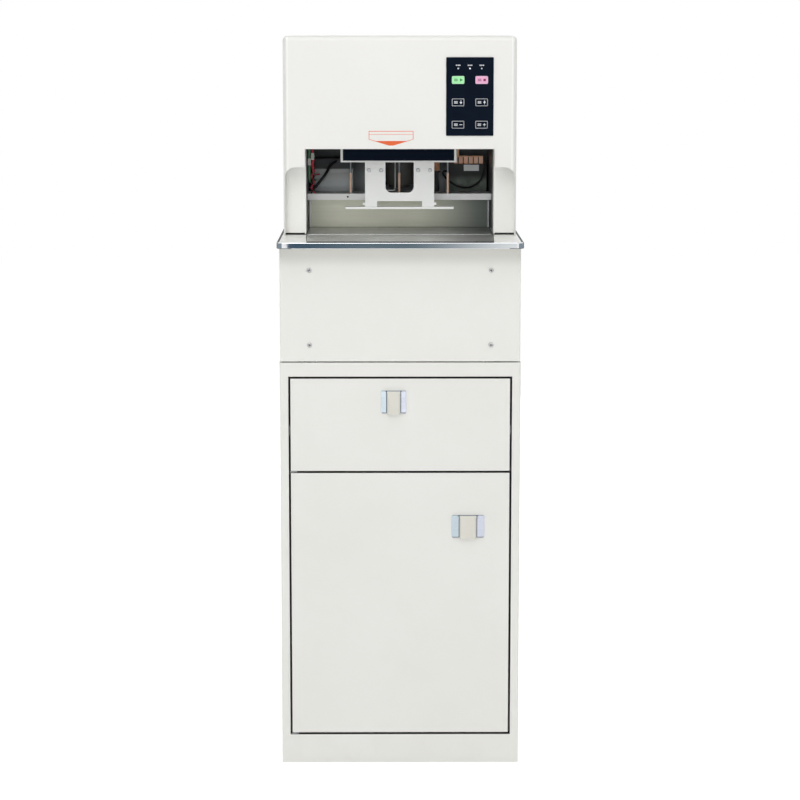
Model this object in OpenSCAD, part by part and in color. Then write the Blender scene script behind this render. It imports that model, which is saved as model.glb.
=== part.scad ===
// Floor-standing thread binding machine: it drills three holes through a stack of paper for the thread.
// Millimetres: +X is the operator's right, the front faces -Y, +Z is up, and the origin is on the floor.

/* [Cabinet] */
// Width of the cabinet
cab_w = 400; // [385:1:430]
// Depth of the cabinet and of the machine on it
cab_d = 450; // [440:1:480]
// Height of the cabinet
cab_h = 685; // [660:1:720]
// Thickness of the painted sheet
sheet = 1.2; // [1:0.1:1.6]
// Outside radius of a folded edge
fold_r = 3; // [2:0.5:5]
// Visible width of the front stiles
stile_w = 14.8; // [12:0.2:18]
// Height of the plinth
plinth_h = 50; // [40:1:70]
// Height of the rail over the drawer
rail_h = 24; // [18:1:32]
// Gap round the drawer and round the door
front_gap = 2.4; // [2:0.1:3]
// Depth of the folded drawer and door fronts
front_d = 18; // [16:1:22]

/* [Drawer and door] */
// Height of the drawer front
drawer_h = 156.4; // [150:0.2:180]
// Room on each side of the drawer tray, for its runner and rail
tray_side = 32; // [28:1:50]
// Depth of the drawer tray
tray_d = 380; // [320:1:400]
// Height of the drawer tray
tray_h = 120; // [100:1:130]
// Width of the drawer runner strip
runner_w = 12; // [8:1:14]
// Height of the drawer runner strip
runner_h = 8; // [6:1:12]
// Diameter of the door hinge pins
hinge_pin_d = 5; // [4:0.5:6]
// Distance of the hinge axis from the door's left and front faces
hinge_inset = 4.8; // [4.5:0.1:5]
// Height of both latches
latch_h = 38; // [34:1:44]
// Width of the door latch plate
door_latch_w = 55; // [48:1:64]
// Width of the door latch paddle
door_paddle_w = 28; // [22:1:32]
// Width of the drawer latch plate
drawer_latch_w = 42; // [38:1:54]
// Width of the drawer latch paddle
drawer_paddle_w = 22; // [18:1:26]
// Centre of the door latch from the middle
door_latch_x = 113.3; // [90:0.1:130]
// Centre of the door latch above the floor
door_latch_z = 408.8; // [350:0.1:450]
// Centre of the drawer latch from the middle
drawer_latch_x = -10.9; // [-40:0.1:40]
// Centre of the drawer latch below the drawer's top edge
drawer_latch_drop = 39.3; // [30:0.1:60]

/* [Machine body] */
// Body in from the cabinet's sides
body_in = 1; // [0:0.5:6]
// Height of the body under the table
body_h = 190; // [170:1:220]
// Height of the rubber feet under the body
foot_h = 2; // [1.5:0.5:6]
// Diameter of the rubber feet
foot_d = 22; // [18:1:30]
// Feet and cover screws in from the body's sides
foot_in = 49; // [34:1:70]
// Height of the lower cover screws above the body's bottom
screw_low = 27.4; // [20:0.1:40]
// Spacing of the cover screws up the front
screw_rise = 124; // [100:1:130]
// Thickness of the base plate
base_t = 3; // [2:0.5:5]

/* [Table] */
// Thickness of the table
table_t = 10; // [8:0.5:14]
// Reach of the trimmed table in front of the body
table_reach = 40; // [25:1:60]
// Reach of the trimmed table past the body's sides
table_side = 3; // [1:0.5:12]
// Width of the trim bar
trim_t = 4; // [3:0.5:6]
// Outside radius of the trim's front corners
trim_r = 12; // [8:0.5:20]
// Thickness of the steel work plate
work_t = 3; // [2:0.5:5]
// Work plate's front corners in from the throat's width
work_taper = 6; // [0:0.5:12]

/* [Head] */
// Hood in from the body's sides
hood_in = 4; // [2:0.5:10]
// Height of the hood above the table
hood_h = 333; // [320:1:360]
// Hood front behind the body front
hood_set = 88; // [70:1:100]
// Cheek front behind the hood front
cheek_set = 34; // [20:1:40]
// Thickness of the hood sheet
hood_t = 1.5; // [1:0.1:2.5]
// Radius of the hood's vertical and top edges
hood_r = 8; // [4:0.5:12]
// Clear width of the paper throat
throat_w = 318; // [310:1:330]
// Height of the throat's upper edge above the table
throat_h = 146; // [130:1:160]
// Height of the hood's lower edge beside the throat, above the table
lip_h = 115.5; // [100:0.5:125]
// Width of the front strip left beside the recess
strip_w = 3; // [2.5:0.5:8]
// Radius of the recess's upper corners
recess_r = 16; // [8:0.5:24]

/* [Keypad] */
// Width of the keypad
keypad_w = 79; // [70:1:90]
// Height of the keypad
keypad_h = 130; // [120:1:140]
// Centre of the keypad from the middle
keypad_x = 116.5; // [100:0.5:130]
// Centre of the keypad above the table
keypad_z = 233; // [220:1:245]
// Thickness of the keypad
keypad_t = 1.5; // [1.2:0.1:3]
// Width of a key
key_w = 20.5; // [16:0.5:24]
// Height of a key
key_h = 12.6; // [10:0.1:16]
// Spacing of the keys across
key_dx = 39.3; // [32:0.1:44]
// Spacing of the keys up
key_dz = 37; // [30:0.1:40]
// Travel of a key
key_travel = 0.5; // [0.3:0.1:0.8]

/* [Drilling] */
// Spacing of the three drills
drill_pitch = 85; // [75:1:90]
// Distance of the drill line in front of the paper fence
drill_margin = 15; // [10:1:16]
// Paper fence behind the body front
fence_set = 290; // [280:1:300]
// Clear height under the guide beam
stack_h = 49.3; // [45:0.1:55]
// Thickness of the guide beam
beam_t = 10.9; // [8:0.1:14]
// Diameter of the drills
drill_d = 4.4; // [3:0.1:6]
// Drilling stroke
stroke = 55; // [45:1:58]
// Diameter of the carriage columns
column_d = 14; // [10:1:16]
// Distance of the columns and of the presser rods from the middle
column_x = 42; // [40:1:44]
// Diameter of the presser rods
press_rod_d = 10; // [8:0.5:12]
// Presser foot's height above the table
press_gap = 40; // [36:1:44]
// Thickness of the presser foot
foot_t = 4; // [3:0.5:6]
// Width of the presser foot
foot_w = 185; // [178:1:200]
// Width of the presser plate
presser_w = 118; // [112:1:124]
// Width of the presser plate's window
window_w = 48.4; // [40:0.2:50]
// Module of the lift rack and its pinion
gear_m = 1.5; // [1.25:0.25:1.75]
// Teeth of the lift pinion
pinion_teeth = 20; // [18:1:22]
// Diameter of the spindle pulleys over the belt seat
pulley_d = 28; // [24:1:32]

/* [Clearances] */
// Radial clearance of a running pin or shaft
run_gap = 0.05; // [0.02:0.01:0.1]
// Clearance of sliding and turning faces
slide_gap = 0.3; // [0.2:0.05:0.5]
// Play between the flanks of the rack and the pinion
backlash = 0.2; // [0.1:0.05:0.3]

/* [Hidden] */
$fn = 48;
paint = [0.91, 0.91, 0.89];
steel = [0.62, 0.64, 0.65];
dark = [0.13, 0.14, 0.16];
navy = [0.07, 0.10, 0.15];
beige = [0.80, 0.79, 0.74];
past = 1;

// Side to side
body_w = cab_w - 2 * body_in;
table_w = body_w + 2 * table_side;
hood_w = body_w - 2 * hood_in;
tray_w = cab_w - 2 * tray_side;
foot_x = body_w / 2 - foot_in;

// Front to back
y_f = table_reach - (cab_d + table_reach) / 2;
y_b = y_f + cab_d;
y_table = y_f - table_reach;
y_hood = y_f + hood_set;
y_cheek = y_hood + cheek_set;
y_fence = y_f + fence_set;
y_drill = y_fence - drill_margin;
rear_inset = 4;
y_rear = y_b - rear_inset;

// Floor to top
z_body = cab_h + foot_h;
z_slab = z_body + body_h;
z_table = z_slab + table_t;
z_beam = z_table + stack_h;
z_top = z_table + hood_h;

// Cabinet front openings
open_x = cab_w / 2 - stile_w;
front_x = open_x - front_gap;
drawer_z1 = cab_h - rail_h - front_gap;
drawer_z0 = drawer_z1 - drawer_h;
door_z0 = plinth_h + front_gap;
door_z1 = drawer_z0 - front_gap;
deck_z = door_z1 + (front_gap - sheet) / 2;
deck_y = y_f + front_d + 1;
fold_lip = 20;
plinth_lip = 40;

// Drawer runners
tray_z = drawer_z0 + 2;
runner_z = tray_z + tray_h / 2;
rail_wall = 4;

// Door hinge and latches
hinge_x = -front_x + hinge_inset;
hinge_y = y_f + hinge_inset;
hinge_tab = 12;
hinge_pin_l = 12;
latch_t = 2;
latch_r = 3;
latch_pin_d = 3;
paddle_t = 5.2;
paddle_over = 1.5;
paddle_axis_y = y_f - latch_t - slide_gap - paddle_t / 2;
paddle_drop = 3.5;
ear_w = 3;
drawer_latch_z = drawer_z1 - drawer_latch_drop;

// Machine body
foot_y = foot_d / 2 + 1;
screw_d = 4;
screw_head_d = 8;
screw_head_t = 2.2;
screw_l = 12;
frame_bar = 10;
frame_bar_h = 16;
frame_t = 6;
frame_in = 19;
frame_x = body_w / 2 - frame_in;
chute_past = 20;
chute_x = drill_pitch + chute_past;
chute_d = 40;
cone_d = 62;
cone_h = 120;
cone_tube_d = 26;
cone_tube_over = 12;
cone_top_d = 38.4;
peg_d = 10;
peg_h = 30;
cone_set = 90;
cone_x = -frame_x + cone_d;
cone_y = y_f + cone_set;

// Head frame
plate_t = 8;
plate_gap = 1;
plate_x = throat_w / 2 + plate_gap;
plate_set = 15;
plate_clear = 10;
plate_y = y_cheek + plate_set;
plate_y1 = y_rear - plate_clear;
roof_rise = 293;
roof_z = z_table + roof_rise;
roof_t = 8;
bridge_rise = 203;
bridge_z = z_table + bridge_rise;
bridge_t = 10;
bridge_d = 108;
cheek_over = 42;
cheek_top = z_table + lip_h + cheek_over;
cheek_return = 43;
cheek_lap = 0.5;
cheek_x = throat_w / 2 - cheek_lap;
seal_h = 2;

// Sign plate behind the throat's upper edge
sign_w = 196;
sign_x = -2;
sign_rise = 121.5;
sign_low = z_table + sign_rise;
sign_t = 2;

// Presser
presser_set = 33;
presser_y = plate_y + presser_set;
presser_t = 3;
presser_z = z_table + press_gap + foot_t;
presser_h = 129;
window_rise = 24;
window_h = 92;
window_r = 10;
notch_w = 77;
notch_h = 9.6;
block_d = 14;
block_x = window_w / 2 + 3;
block_rise = 49;
block_in = 2;
block_z = presser_z + block_rise;
block_h = 80;
block_bar = 15;
press_rod_y = presser_y + presser_t + block_d / 2;
press_rod_rise = 63;
press_rod_z = z_table + press_rod_rise;
presser_screw_rise = 62;
presser_screw_x = [31.5, 52];
wing = 4;
wing_rise = 3;
foot_front = 3;
foot_depth = 16;
presser_screw_z = presser_z + presser_screw_rise;
presser_screw_d = 4;

// Carriage, spindles and belt
column_set = 20;
column_y = y_fence + column_set;
beam_front = 13;
beam_y = y_drill - beam_front;
beam_d = 65;
carriage_rise = 148;
carriage_z = z_table + carriage_rise;
carriage_t = 25;
carriage_past = 30;
carriage_front = 16;
carriage_x = drill_pitch + carriage_past;
carriage_y = y_drill - carriage_front;
carriage_d = 68;
tab_x = 36;
motor_set = 86;
motor_y = y_drill + motor_set;
motor_r = 28;
motor_l = 77;
tab_past = 4;
tab_y1 = motor_y + motor_r + tab_past;
spindle_d = 10;
chuck_d = 16;
chuck_l = 29;
chuck_nose = 7;
chuck_taper = 3;
chuck_z = carriage_z - chuck_l;
shank_d = 3.4;
drill_tip_rise = 4;
shoulder_rise = 96;
drill_tip_z = z_beam + drill_tip_rise;
drill_shoulder_z = z_table + shoulder_rise;
drill_point = 3;
drill_step = 1;
pulley_z = carriage_z + carriage_t + slide_gap;
flange_t = 1.5;
flange_over = 2;
belt_seat = 10;
belt_t = 1.8;
motor_shaft_l = 10;
motor_boss = 6;
motor_shaft_d = 6;

// Lift rack and pinion
pitch_r = gear_m * pinion_teeth / 2;
rack_w = 12;
rack_back = 5;
rack_y = tab_y1 + rack_back + 1.25 * gear_m;
pinion_y = rack_y + pitch_r;
pinion_rise = 10;
pinion_z = carriage_z + pinion_rise;
tooth_pitch = PI * gear_m;
rack_below = 3;
rack_above = ceil((stroke + 3 * tooth_pitch) / tooth_pitch);
ear_t = 6;
ear_gap = 6;
ear_d = 30;
ear_back = 18;
hub_d = 14;
ear_x = rack_w / 2 + ear_gap;
lift_shaft_d = 8;
lift_shaft_in = 12;
gearbox_w = 40;
gearbox_h = 44;
lift_motor_d = 36;
lift_motor_h = 74;
lift_cap_d = 22;
lift_cap_h = 80;

// Rear panels
vent_x = 95;
vent_w = 4;
vent_h = 50;
vent_step = 10;
vent_count = 9;
hood_vent_rise = 230;
inlet_in = 81;
inlet_x = body_w / 2 - inlet_in;
inlet_rise = 48;
inlet_z = z_body + inlet_rise;
inlet_w = 28;
inlet_h = 22;
inlet_d = 22;
inlet_hollow_d = 15;
inlet_flange = 2;
contact_step = 7;
switch_step = 38;
switch_x = inlet_x - switch_step;
switch_w = 15;
switch_h = 21;
switch_wall = 1.5;
switch_d = 18;
switch_hollow_d = 14;
switch_axis_y = y_rear - 2;
rocker_pin_d = 2.4;

// Boxes behind the fence
supply_set = 65;
supply_y = y_fence + supply_set;
supply_d = 62;
supply_in = 10;
supply_w = 68;
supply_h = 116;
supply_x = -plate_x + supply_in;
slot_step = 12;
slot_h = 4;
slot_in = 8;
slot_rise = 30;
slot_count = 6;
control_in = 4;
control_w = 66;
control_h = 107;
control_x = plate_x - control_in - control_w;
clamp_w = 7;
clamp_step = 9;
clamp_d = 14;
clamp_h = 12;
clamp_count = 6;

// A plan outline from y0 back to y1 with both front corners rounded
module front_round(w, y0, y1, r) {
    translate([-w / 2, y0 + r]) square([w, y1 - y0 - r]);
    translate([-w / 2 + r, y0]) square([w - 2 * r, y1 - y0]);
    for (side = [-1, 1]) translate([side * (w / 2 - r), y0 + r]) circle(r);
}

// A rectangle about its centre with four round corners
module round_rect(w, h, r) {
    square([w - 2 * r, h], center = true);
    square([w, h - 2 * r], center = true);
    for (x = [-1, 1], y = [-1, 1]) translate([x * (w / 2 - r), y * (h / 2 - r)]) circle(r);
}

// An outline drawn in X and Z, given its thickness from y0 towards the back
module upright(y0, t) {
    translate([0, y0 + t, 0]) rotate([90, 0, 0]) linear_extrude(t) children();
}

// A block between two corners
module span(low, high) {
    translate(low) cube(high - low);
}

// A cylinder along +Y from a point
module rod_y(p, d, l) {
    translate(p) rotate([-90, 0, 0]) cylinder(d = d, h = l);
}

// A cylinder along +X from a point
module rod_x(p, d, l) {
    translate(p) rotate([0, 90, 0]) cylinder(d = d, h = l);
}

// A sheet front with folded edges and a lip round its open back
module folded_front(w, z0, z1) {
    difference() {
        intersection() {
            translate([0, 0, z0]) linear_extrude(z1 - z0) front_round(w, y_f, y_f + front_d, fold_r / 2);
            translate([-w / 2, 0, (z0 + z1) / 2]) rotate([90, 0, 90]) linear_extrude(w)
                rotate(-90) front_round(z1 - z0, y_f, y_f + front_d, fold_r / 2);
        }
        span([-w / 2 + sheet, y_f + sheet, z0 + sheet], [w / 2 - sheet, y_f + front_d - sheet, z1 - sheet]);
        span([-w / 2 + fold_lip, y_f + sheet, z0 + fold_lip],
            [w / 2 - fold_lip, y_f + front_d + past, z1 - fold_lip]);
    }
}

// Plinth folded in all round under the cabinet, with an open middle
module cabinet_plinth() {
    color(paint) difference() {
        linear_extrude(plinth_h) front_round(cab_w, y_f, y_b, fold_r);
        span([-cab_w / 2 + sheet, y_f + sheet, sheet], [cab_w / 2 - sheet, y_b - sheet, plinth_h - sheet]);
        span([-cab_w / 2 + plinth_lip, y_f + plinth_lip, -past],
            [cab_w / 2 - plinth_lip, y_b - plinth_lip, plinth_h / 2]);
    }
}

// Sides and back in one sheet, folded round at the front into stiles with a lip behind each
module cabinet_shell() {
    hollow_w = stile_w - 2 * sheet;
    color(paint) translate([0, 0, plinth_h]) linear_extrude(cab_h - sheet - plinth_h) difference() {
        front_round(cab_w, y_f, y_b, fold_r);
        translate([-cab_w / 2 + sheet, y_f + front_d]) square([cab_w - 2 * sheet, cab_d - front_d - sheet]);
        translate([-open_x, y_f - past]) square([2 * open_x, front_d + 2 * past]);
        for (x = [-cab_w / 2 + sheet, cab_w / 2 - sheet - hollow_w])
            translate([x, y_f + sheet]) square([hollow_w, front_d]);
    }
}

module cabinet_top() {
    color(paint) {
        difference() {
            translate([0, 0, cab_h - sheet]) linear_extrude(sheet) front_round(cab_w, y_f, y_b, fold_r);
            chip_port(cab_h - sheet, cab_h);
        }
        span([-open_x, y_f, cab_h - rail_h], [open_x, y_f + sheet, cab_h - sheet]);
        span([-open_x, y_f, cab_h - rail_h], [open_x, y_f + front_d, cab_h - rail_h + sheet]);
    }
}

// The way that the paper chips fall, from z0 up to z1
module chip_port(z0, z1) {
    span([-chute_x + sheet, y_drill - chute_d / 2 + sheet, z0 - past],
        [chute_x - sheet, y_drill + chute_d / 2 - sheet, z1 + past]);
}

module drawer_deck() {
    inner = cab_w / 2 - sheet;
    color(paint) span([-inner, deck_y, deck_z], [inner, y_b - sheet, deck_z + sheet]);
}

module drawer_rails() {
    groove_x = tray_w / 2 + runner_w + slide_gap;
    color(steel) for (side = [0, 1]) mirror([side, 0, 0]) difference() {
        span([tray_w / 2 + slide_gap, deck_y, runner_z - rail_wall],
            [cab_w / 2 - sheet, deck_y + tray_d, runner_z + runner_h + rail_wall]);
        span([tray_w / 2, deck_y - past, runner_z - slide_gap],
            [groove_x, deck_y + tray_d + past, runner_z + runner_h + slide_gap]);
    }
}

// The drawer tray's runner strips are folded out of its side walls
module drawer_tray() {
    y0 = y_f + front_d;
    color(paint) {
        difference() {
            span([-tray_w / 2, y0, tray_z], [tray_w / 2, y0 + tray_d, tray_z + tray_h]);
            span([-tray_w / 2 + sheet, y0 + sheet, tray_z + sheet],
                [tray_w / 2 - sheet, y0 + tray_d - sheet, tray_z + tray_h + past]);
        }
        for (side = [0, 1]) mirror([side, 0, 0])
            span([tray_w / 2 - sheet, y0 + fold_r, runner_z],
                [tray_w / 2 + runner_w, y0 + tray_d, runner_z + runner_h]);
    }
}

module drawer_front() {
    color(paint) folded_front(2 * front_x, drawer_z0, drawer_z1);
}

module door_panel() {
    color(paint) difference() {
        folded_front(2 * front_x, door_z0, door_z1);
        translate([hinge_x, hinge_y, door_z0 - past])
            cylinder(d = hinge_pin_d + 2 * run_gap, h = door_z1 - door_z0 + 2 * past);
    }
}

// Pin tabs on the plinth and on the deck, with a shoulder that carries the door
module door_hinges() {
    shoulder = door_z0 - slide_gap - plinth_h;
    tab_x = [hinge_x - hinge_tab / 2, hinge_x + hinge_tab / 2];
    tab_y = hinge_y - 3;
    color(steel) {
        span([tab_x[0], tab_y, plinth_h], [tab_x[1], deck_y, plinth_h + sheet]);
        translate([hinge_x, hinge_y, plinth_h]) cylinder(d = hinge_pin_d + 2, h = shoulder);
        translate([hinge_x, hinge_y, plinth_h]) cylinder(d = hinge_pin_d, h = hinge_pin_l);
        span([tab_x[0], tab_y, deck_z], [tab_x[1], deck_y, deck_z + sheet]);
        translate([hinge_x, hinge_y, deck_z + sheet - hinge_pin_l])
            cylinder(d = hinge_pin_d, h = hinge_pin_l);
    }
}

// Magnet under the deck that holds the door's folded lip
module door_catch() {
    face_y = y_f + front_d + slide_gap;
    catch_w = 32;
    catch_d = 26;
    catch_h = 18;
    color(dark) span([door_latch_x - catch_w / 2, face_y, deck_z - catch_h],
        [door_latch_x + catch_w / 2, face_y + catch_d, deck_z]);
}

// Latch base with the ears and the pin that carry the paddle
module latch_plate(x, z, w, paddle_w) {
    axis_z = z + latch_h / 2 - paddle_drop;
    ear_x0 = paddle_w / 2 + slide_gap;
    color([0.78, 0.82, 0.88]) {
        translate([x, 0, z]) upright(y_f - latch_t, latch_t) round_rect(w, latch_h, latch_r);
        for (side = [-1, 1]) translate([x + side * (ear_x0 + ear_w / 2), y_f - latch_t, axis_z])
            span([-ear_w / 2, paddle_axis_y - y_f - 0.5, -2.6], [ear_w / 2, 0.5, 2.6]);
        rod_x([x - ear_x0 - ear_w / 2, paddle_axis_y, axis_z], latch_pin_d, 2 * ear_x0 + ear_w);
    }
}

// Paddle that turns about its rounded upper end, with bevelled long edges
module latch_paddle(x, z, paddle_w) {
    axis_z = z + latch_h / 2 - paddle_drop;
    low_z = z - latch_h / 2 - paddle_over;
    bevel = 2.4;
    color(beige) difference() {
        union() {
            translate([x, 0, low_z]) linear_extrude(axis_z - low_z)
                translate([0, paddle_axis_y]) polygon([
                    [-paddle_w / 2, paddle_t / 2], [paddle_w / 2, paddle_t / 2],
                    [paddle_w / 2, -paddle_t / 2 + bevel], [paddle_w / 2 - bevel, -paddle_t / 2],
                    [-paddle_w / 2 + bevel, -paddle_t / 2], [-paddle_w / 2, -paddle_t / 2 + bevel]
                ]);
            rod_x([x - paddle_w / 2, paddle_axis_y, axis_z], paddle_t, paddle_w);
        }
        rod_x([x - paddle_w / 2 - past, paddle_axis_y, axis_z],
            latch_pin_d + 2 * run_gap, paddle_w + 2 * past);
    }
}

module drawer_latch_plate() {
    latch_plate(drawer_latch_x, drawer_latch_z, drawer_latch_w, drawer_paddle_w);
}

module drawer_paddle() {
    latch_paddle(drawer_latch_x, drawer_latch_z, drawer_paddle_w);
}

module door_latch_plate() {
    latch_plate(door_latch_x, door_latch_z, door_latch_w, door_paddle_w);
}

module door_paddle() {
    latch_paddle(door_latch_x, door_latch_z, door_paddle_w);
}

module body_feet() {
    color(dark) for (x = [-foot_x, foot_x], y = [y_f + foot_y, y_b - 2 * foot_y])
        translate([x, y, cab_h]) cylinder(d = foot_d, h = foot_h);
}

// Base plate with the chute that carries the chips down into the drawer
module body_base() {
    color(steel) difference() {
        union() {
            translate([0, 0, z_body]) linear_extrude(base_t)
                front_round(body_w - 2 * sheet, y_f + sheet, y_rear - sheet, fold_r);
            span([-chute_x, y_drill - chute_d / 2, z_body], [chute_x, y_drill + chute_d / 2, z_slab]);
            translate([cone_x, cone_y, z_body]) cylinder(d = peg_d, h = base_t + peg_h);
        }
        chip_port(z_body, z_slab);
    }
}

// The places of the cover screws, as points on the front face
function cover_screw_places() = [
    for (x = [-foot_x, foot_x], rise = [screw_low, screw_low + screw_rise]) [x, y_f, z_body + rise]
];

module body_cover() {
    color(paint) difference() {
        translate([0, 0, z_body]) linear_extrude(body_h) difference() {
            front_round(body_w, y_f, y_b, fold_r);
            translate([0, sheet]) front_round(body_w - 2 * sheet, y_f, y_b + past, fold_r - sheet);
        }
        for (p = cover_screw_places()) rod_y(p - [0, past, 0], screw_d + 1, sheet + 2 * past);
    }
}

module cover_screws() {
    color([0.55, 0.56, 0.58]) for (p = cover_screw_places())
        translate(p) rotate([-90, 0, 0]) rotate_extrude() polygon([
            [0, -screw_head_t], [screw_head_d / 4, -screw_head_t], [screw_head_d / 2, -screw_head_t / 3],
            [screw_head_d / 2, 0], [screw_d / 2, 0],
            [screw_d / 2, screw_l - 1], [screw_d / 2 - 1, screw_l], [0, screw_l]
        ]);
}

// Welded frame that carries the table and takes the cover screws
module lower_frame() {
    color(steel) difference() {
        union() {
            for (side = [0, 1]) mirror([side, 0, 0])
                span([frame_x - frame_t, y_f + sheet, z_body + base_t], [frame_x, y_rear - 12, z_slab]);
            for (rise = [screw_low, screw_low + screw_rise])
                span([-frame_x, y_f + sheet, z_body + rise - frame_bar_h / 2],
                    [frame_x, y_f + sheet + frame_bar + 3, z_body + rise + frame_bar_h / 2]);
        }
        for (p = cover_screw_places()) rod_y(p, screw_d + 2 * run_gap, screw_l + 1);
    }
}

// Cone of binding thread on the base plate's peg
module thread_cone() {
    color([0.93, 0.92, 0.88]) translate([cone_x, cone_y, z_body + base_t]) difference() {
        union() {
            cylinder(d1 = cone_d, d2 = cone_top_d, h = cone_h);
            cylinder(d = cone_tube_d, h = cone_h + cone_tube_over);
        }
        translate([0, 0, -past])
            cylinder(d = peg_d + 2 * slide_gap, h = cone_h + cone_tube_over + 2 * past);
    }
}

// Rear panel of the body, with the power entry and a row of vents
module body_back() {
    color(paint) difference() {
        span([-body_w / 2 + sheet, y_rear - sheet, z_body], [body_w / 2 - sheet, y_rear, z_slab]);
        translate([inlet_x, 0, inlet_z]) upright(y_rear - sheet - past, sheet + 2 * past)
            square([inlet_w, inlet_h], center = true);
        translate([switch_x, 0, inlet_z]) upright(y_rear - sheet - past, sheet + 2 * past)
            square([switch_w, switch_h], center = true);
        vents(-vent_x, z_body + body_h / 2);
    }
}

// A row of upright vent slots through a rear panel
module vents(x, z) {
    for (i = [0 : vent_count - 1]) translate([x + vent_step * (i - (vent_count - 1) / 2), 0, z])
        upright(y_rear - sheet - past, sheet + 2 * past) round_rect(vent_w, vent_h, vent_w / 2 - 0.1);
}

// Mains inlet with its three contacts, beside the switch frame
module power_inlet() {
    color(dark) {
        translate([inlet_x, 0, inlet_z]) difference() {
            union() {
                upright(y_rear, inlet_flange) round_rect(inlet_w + 8, inlet_h + 6, 3);
                upright(y_rear - inlet_d, inlet_d)
                    square([inlet_w - 2 * slide_gap, inlet_h - 2 * slide_gap], center = true);
            }
            upright(y_rear - inlet_hollow_d, inlet_hollow_d + inlet_flange + past)
                round_rect(inlet_w - 5, inlet_h - 7, 3);
        }
        for (i = [-1, 0, 1]) translate([inlet_x + i * contact_step, 0, inlet_z + (i == 0 ? 3 : -2)])
            upright(y_rear - inlet_hollow_d - 1, inlet_hollow_d - 2) square([2, 4], center = true);
        translate([switch_x, 0, inlet_z]) difference() {
            union() {
                upright(y_rear, inlet_flange) round_rect(switch_w + 5, switch_h + 5, 2);
                upright(y_rear - switch_d, switch_d)
                    square([switch_w - 2 * slide_gap, switch_h - 2 * slide_gap], center = true);
            }
            upright(y_rear - switch_hollow_d, switch_hollow_d + inlet_flange + past)
                square([switch_w - 2 * switch_wall, switch_h - 2 * switch_wall], center = true);
            rod_x([-switch_w / 2 + 0.6, switch_axis_y, 0], rocker_pin_d + 2 * run_gap, switch_w - 1.2);
        }
    }
}

// Rocker, drawn with its lower half pressed in
module power_switch() {
    w = switch_w - 2 * switch_wall - 2 * slide_gap;
    reach = switch_h / 2 - switch_wall - 0.7;
    tilt = 9;
    color([0.7, 0.1, 0.08]) translate([switch_x, switch_axis_y, inlet_z]) {
        rotate([-tilt, 0, 0]) translate([-w / 2, 0, 0]) rotate([90, 0, 90]) linear_extrude(w)
            polygon([[-4, -reach + 2], [3.6, -reach], [2.2, 0], [3.6, reach], [-4, reach - 2]]);
        rod_x([-switch_w / 2 + 1, 0, 0], rocker_pin_d, switch_w - 2);
    }
}

module table_slab() {
    color(paint) difference() {
        translate([0, 0, z_slab]) linear_extrude(table_t)
            front_round(table_w - 2 * trim_t, y_table + trim_t, y_rear - sheet, trim_r - trim_t);
        translate([0, 0, z_table - work_t]) linear_extrude(work_t + past) work_outline(0, past);
        chip_port(z_slab, z_table);
    }
}

module table_trim() {
    color([0.75, 0.78, 0.82]) translate([0, 0, z_slab]) linear_extrude(table_t) difference() {
        front_round(table_w, y_table, y_rear - sheet, trim_r);
        front_round(table_w - 2 * trim_t, y_table + trim_t, y_rear + past, trim_r - trim_t);
    }
}

// The three drilling places along the fence
function drill_places() = [for (i = [-1, 0, 1]) [i * drill_pitch, y_drill, 0]];

// The work plate's outline in plan, narrowed in front of the cheeks, less a gap at its sides and back
module work_outline(gap, over) {
    x = throat_w / 2 - gap;
    y0 = y_table + trim_t - over;
    y1 = y_fence + slide_gap - gap;
    polygon([
        [-x + work_taper, y0], [x - work_taper, y0], [x, y_cheek], [x, y1], [-x, y1], [-x, y_cheek]
    ]);
}

// Bores for the three drills, from z0 up through t
module drill_bores(z0, t, d) {
    for (p = drill_places()) translate([p[0], p[1], z0 - past]) cylinder(d = d, h = t + 2 * past);
}

module work_plate() {
    color(steel) difference() {
        translate([0, 0, z_table - work_t]) linear_extrude(work_t) work_outline(slide_gap, 0);
        drill_bores(z_table - work_t, work_t, drill_d + 2.6);
    }
}

module paper_fence() {
    color([0.58, 0.60, 0.55]) span([-plate_x, y_fence, z_table], [plate_x, y_fence + 4, z_beam]);
}

// Side plates on the table, tied by the bridge over the presser
module head_frame() {
    color(steel) {
        for (side = [0, 1]) mirror([side, 0, 0])
            span([plate_x, plate_y, z_table], [plate_x + plate_t, plate_y1, roof_z]);
        span([-plate_x, plate_y, bridge_z], [plate_x, plate_y + bridge_d, bridge_z + bridge_t]);
    }
}

// Roof plate with the two ears that carry the lift pinion
module roof_plate() {
    color(steel) difference() {
        union() {
            span([-plate_x - plate_t, plate_y, roof_z], [plate_x + plate_t, plate_y1, roof_z + roof_t]);
            for (side = [0, 1]) mirror([side, 0, 0]) {
                span([ear_x, rack_y + 2, pinion_z], [ear_x + ear_t, pinion_y + ear_back, roof_z + 1]);
                rod_x([ear_x, pinion_y, pinion_z], ear_d, ear_t);
            }
        }
        rod_x([-ear_x - ear_t - past, pinion_y, pinion_z],
            lift_shaft_d + 2 * run_gap, 2 * (ear_x + ear_t + past));
    }
}

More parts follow.
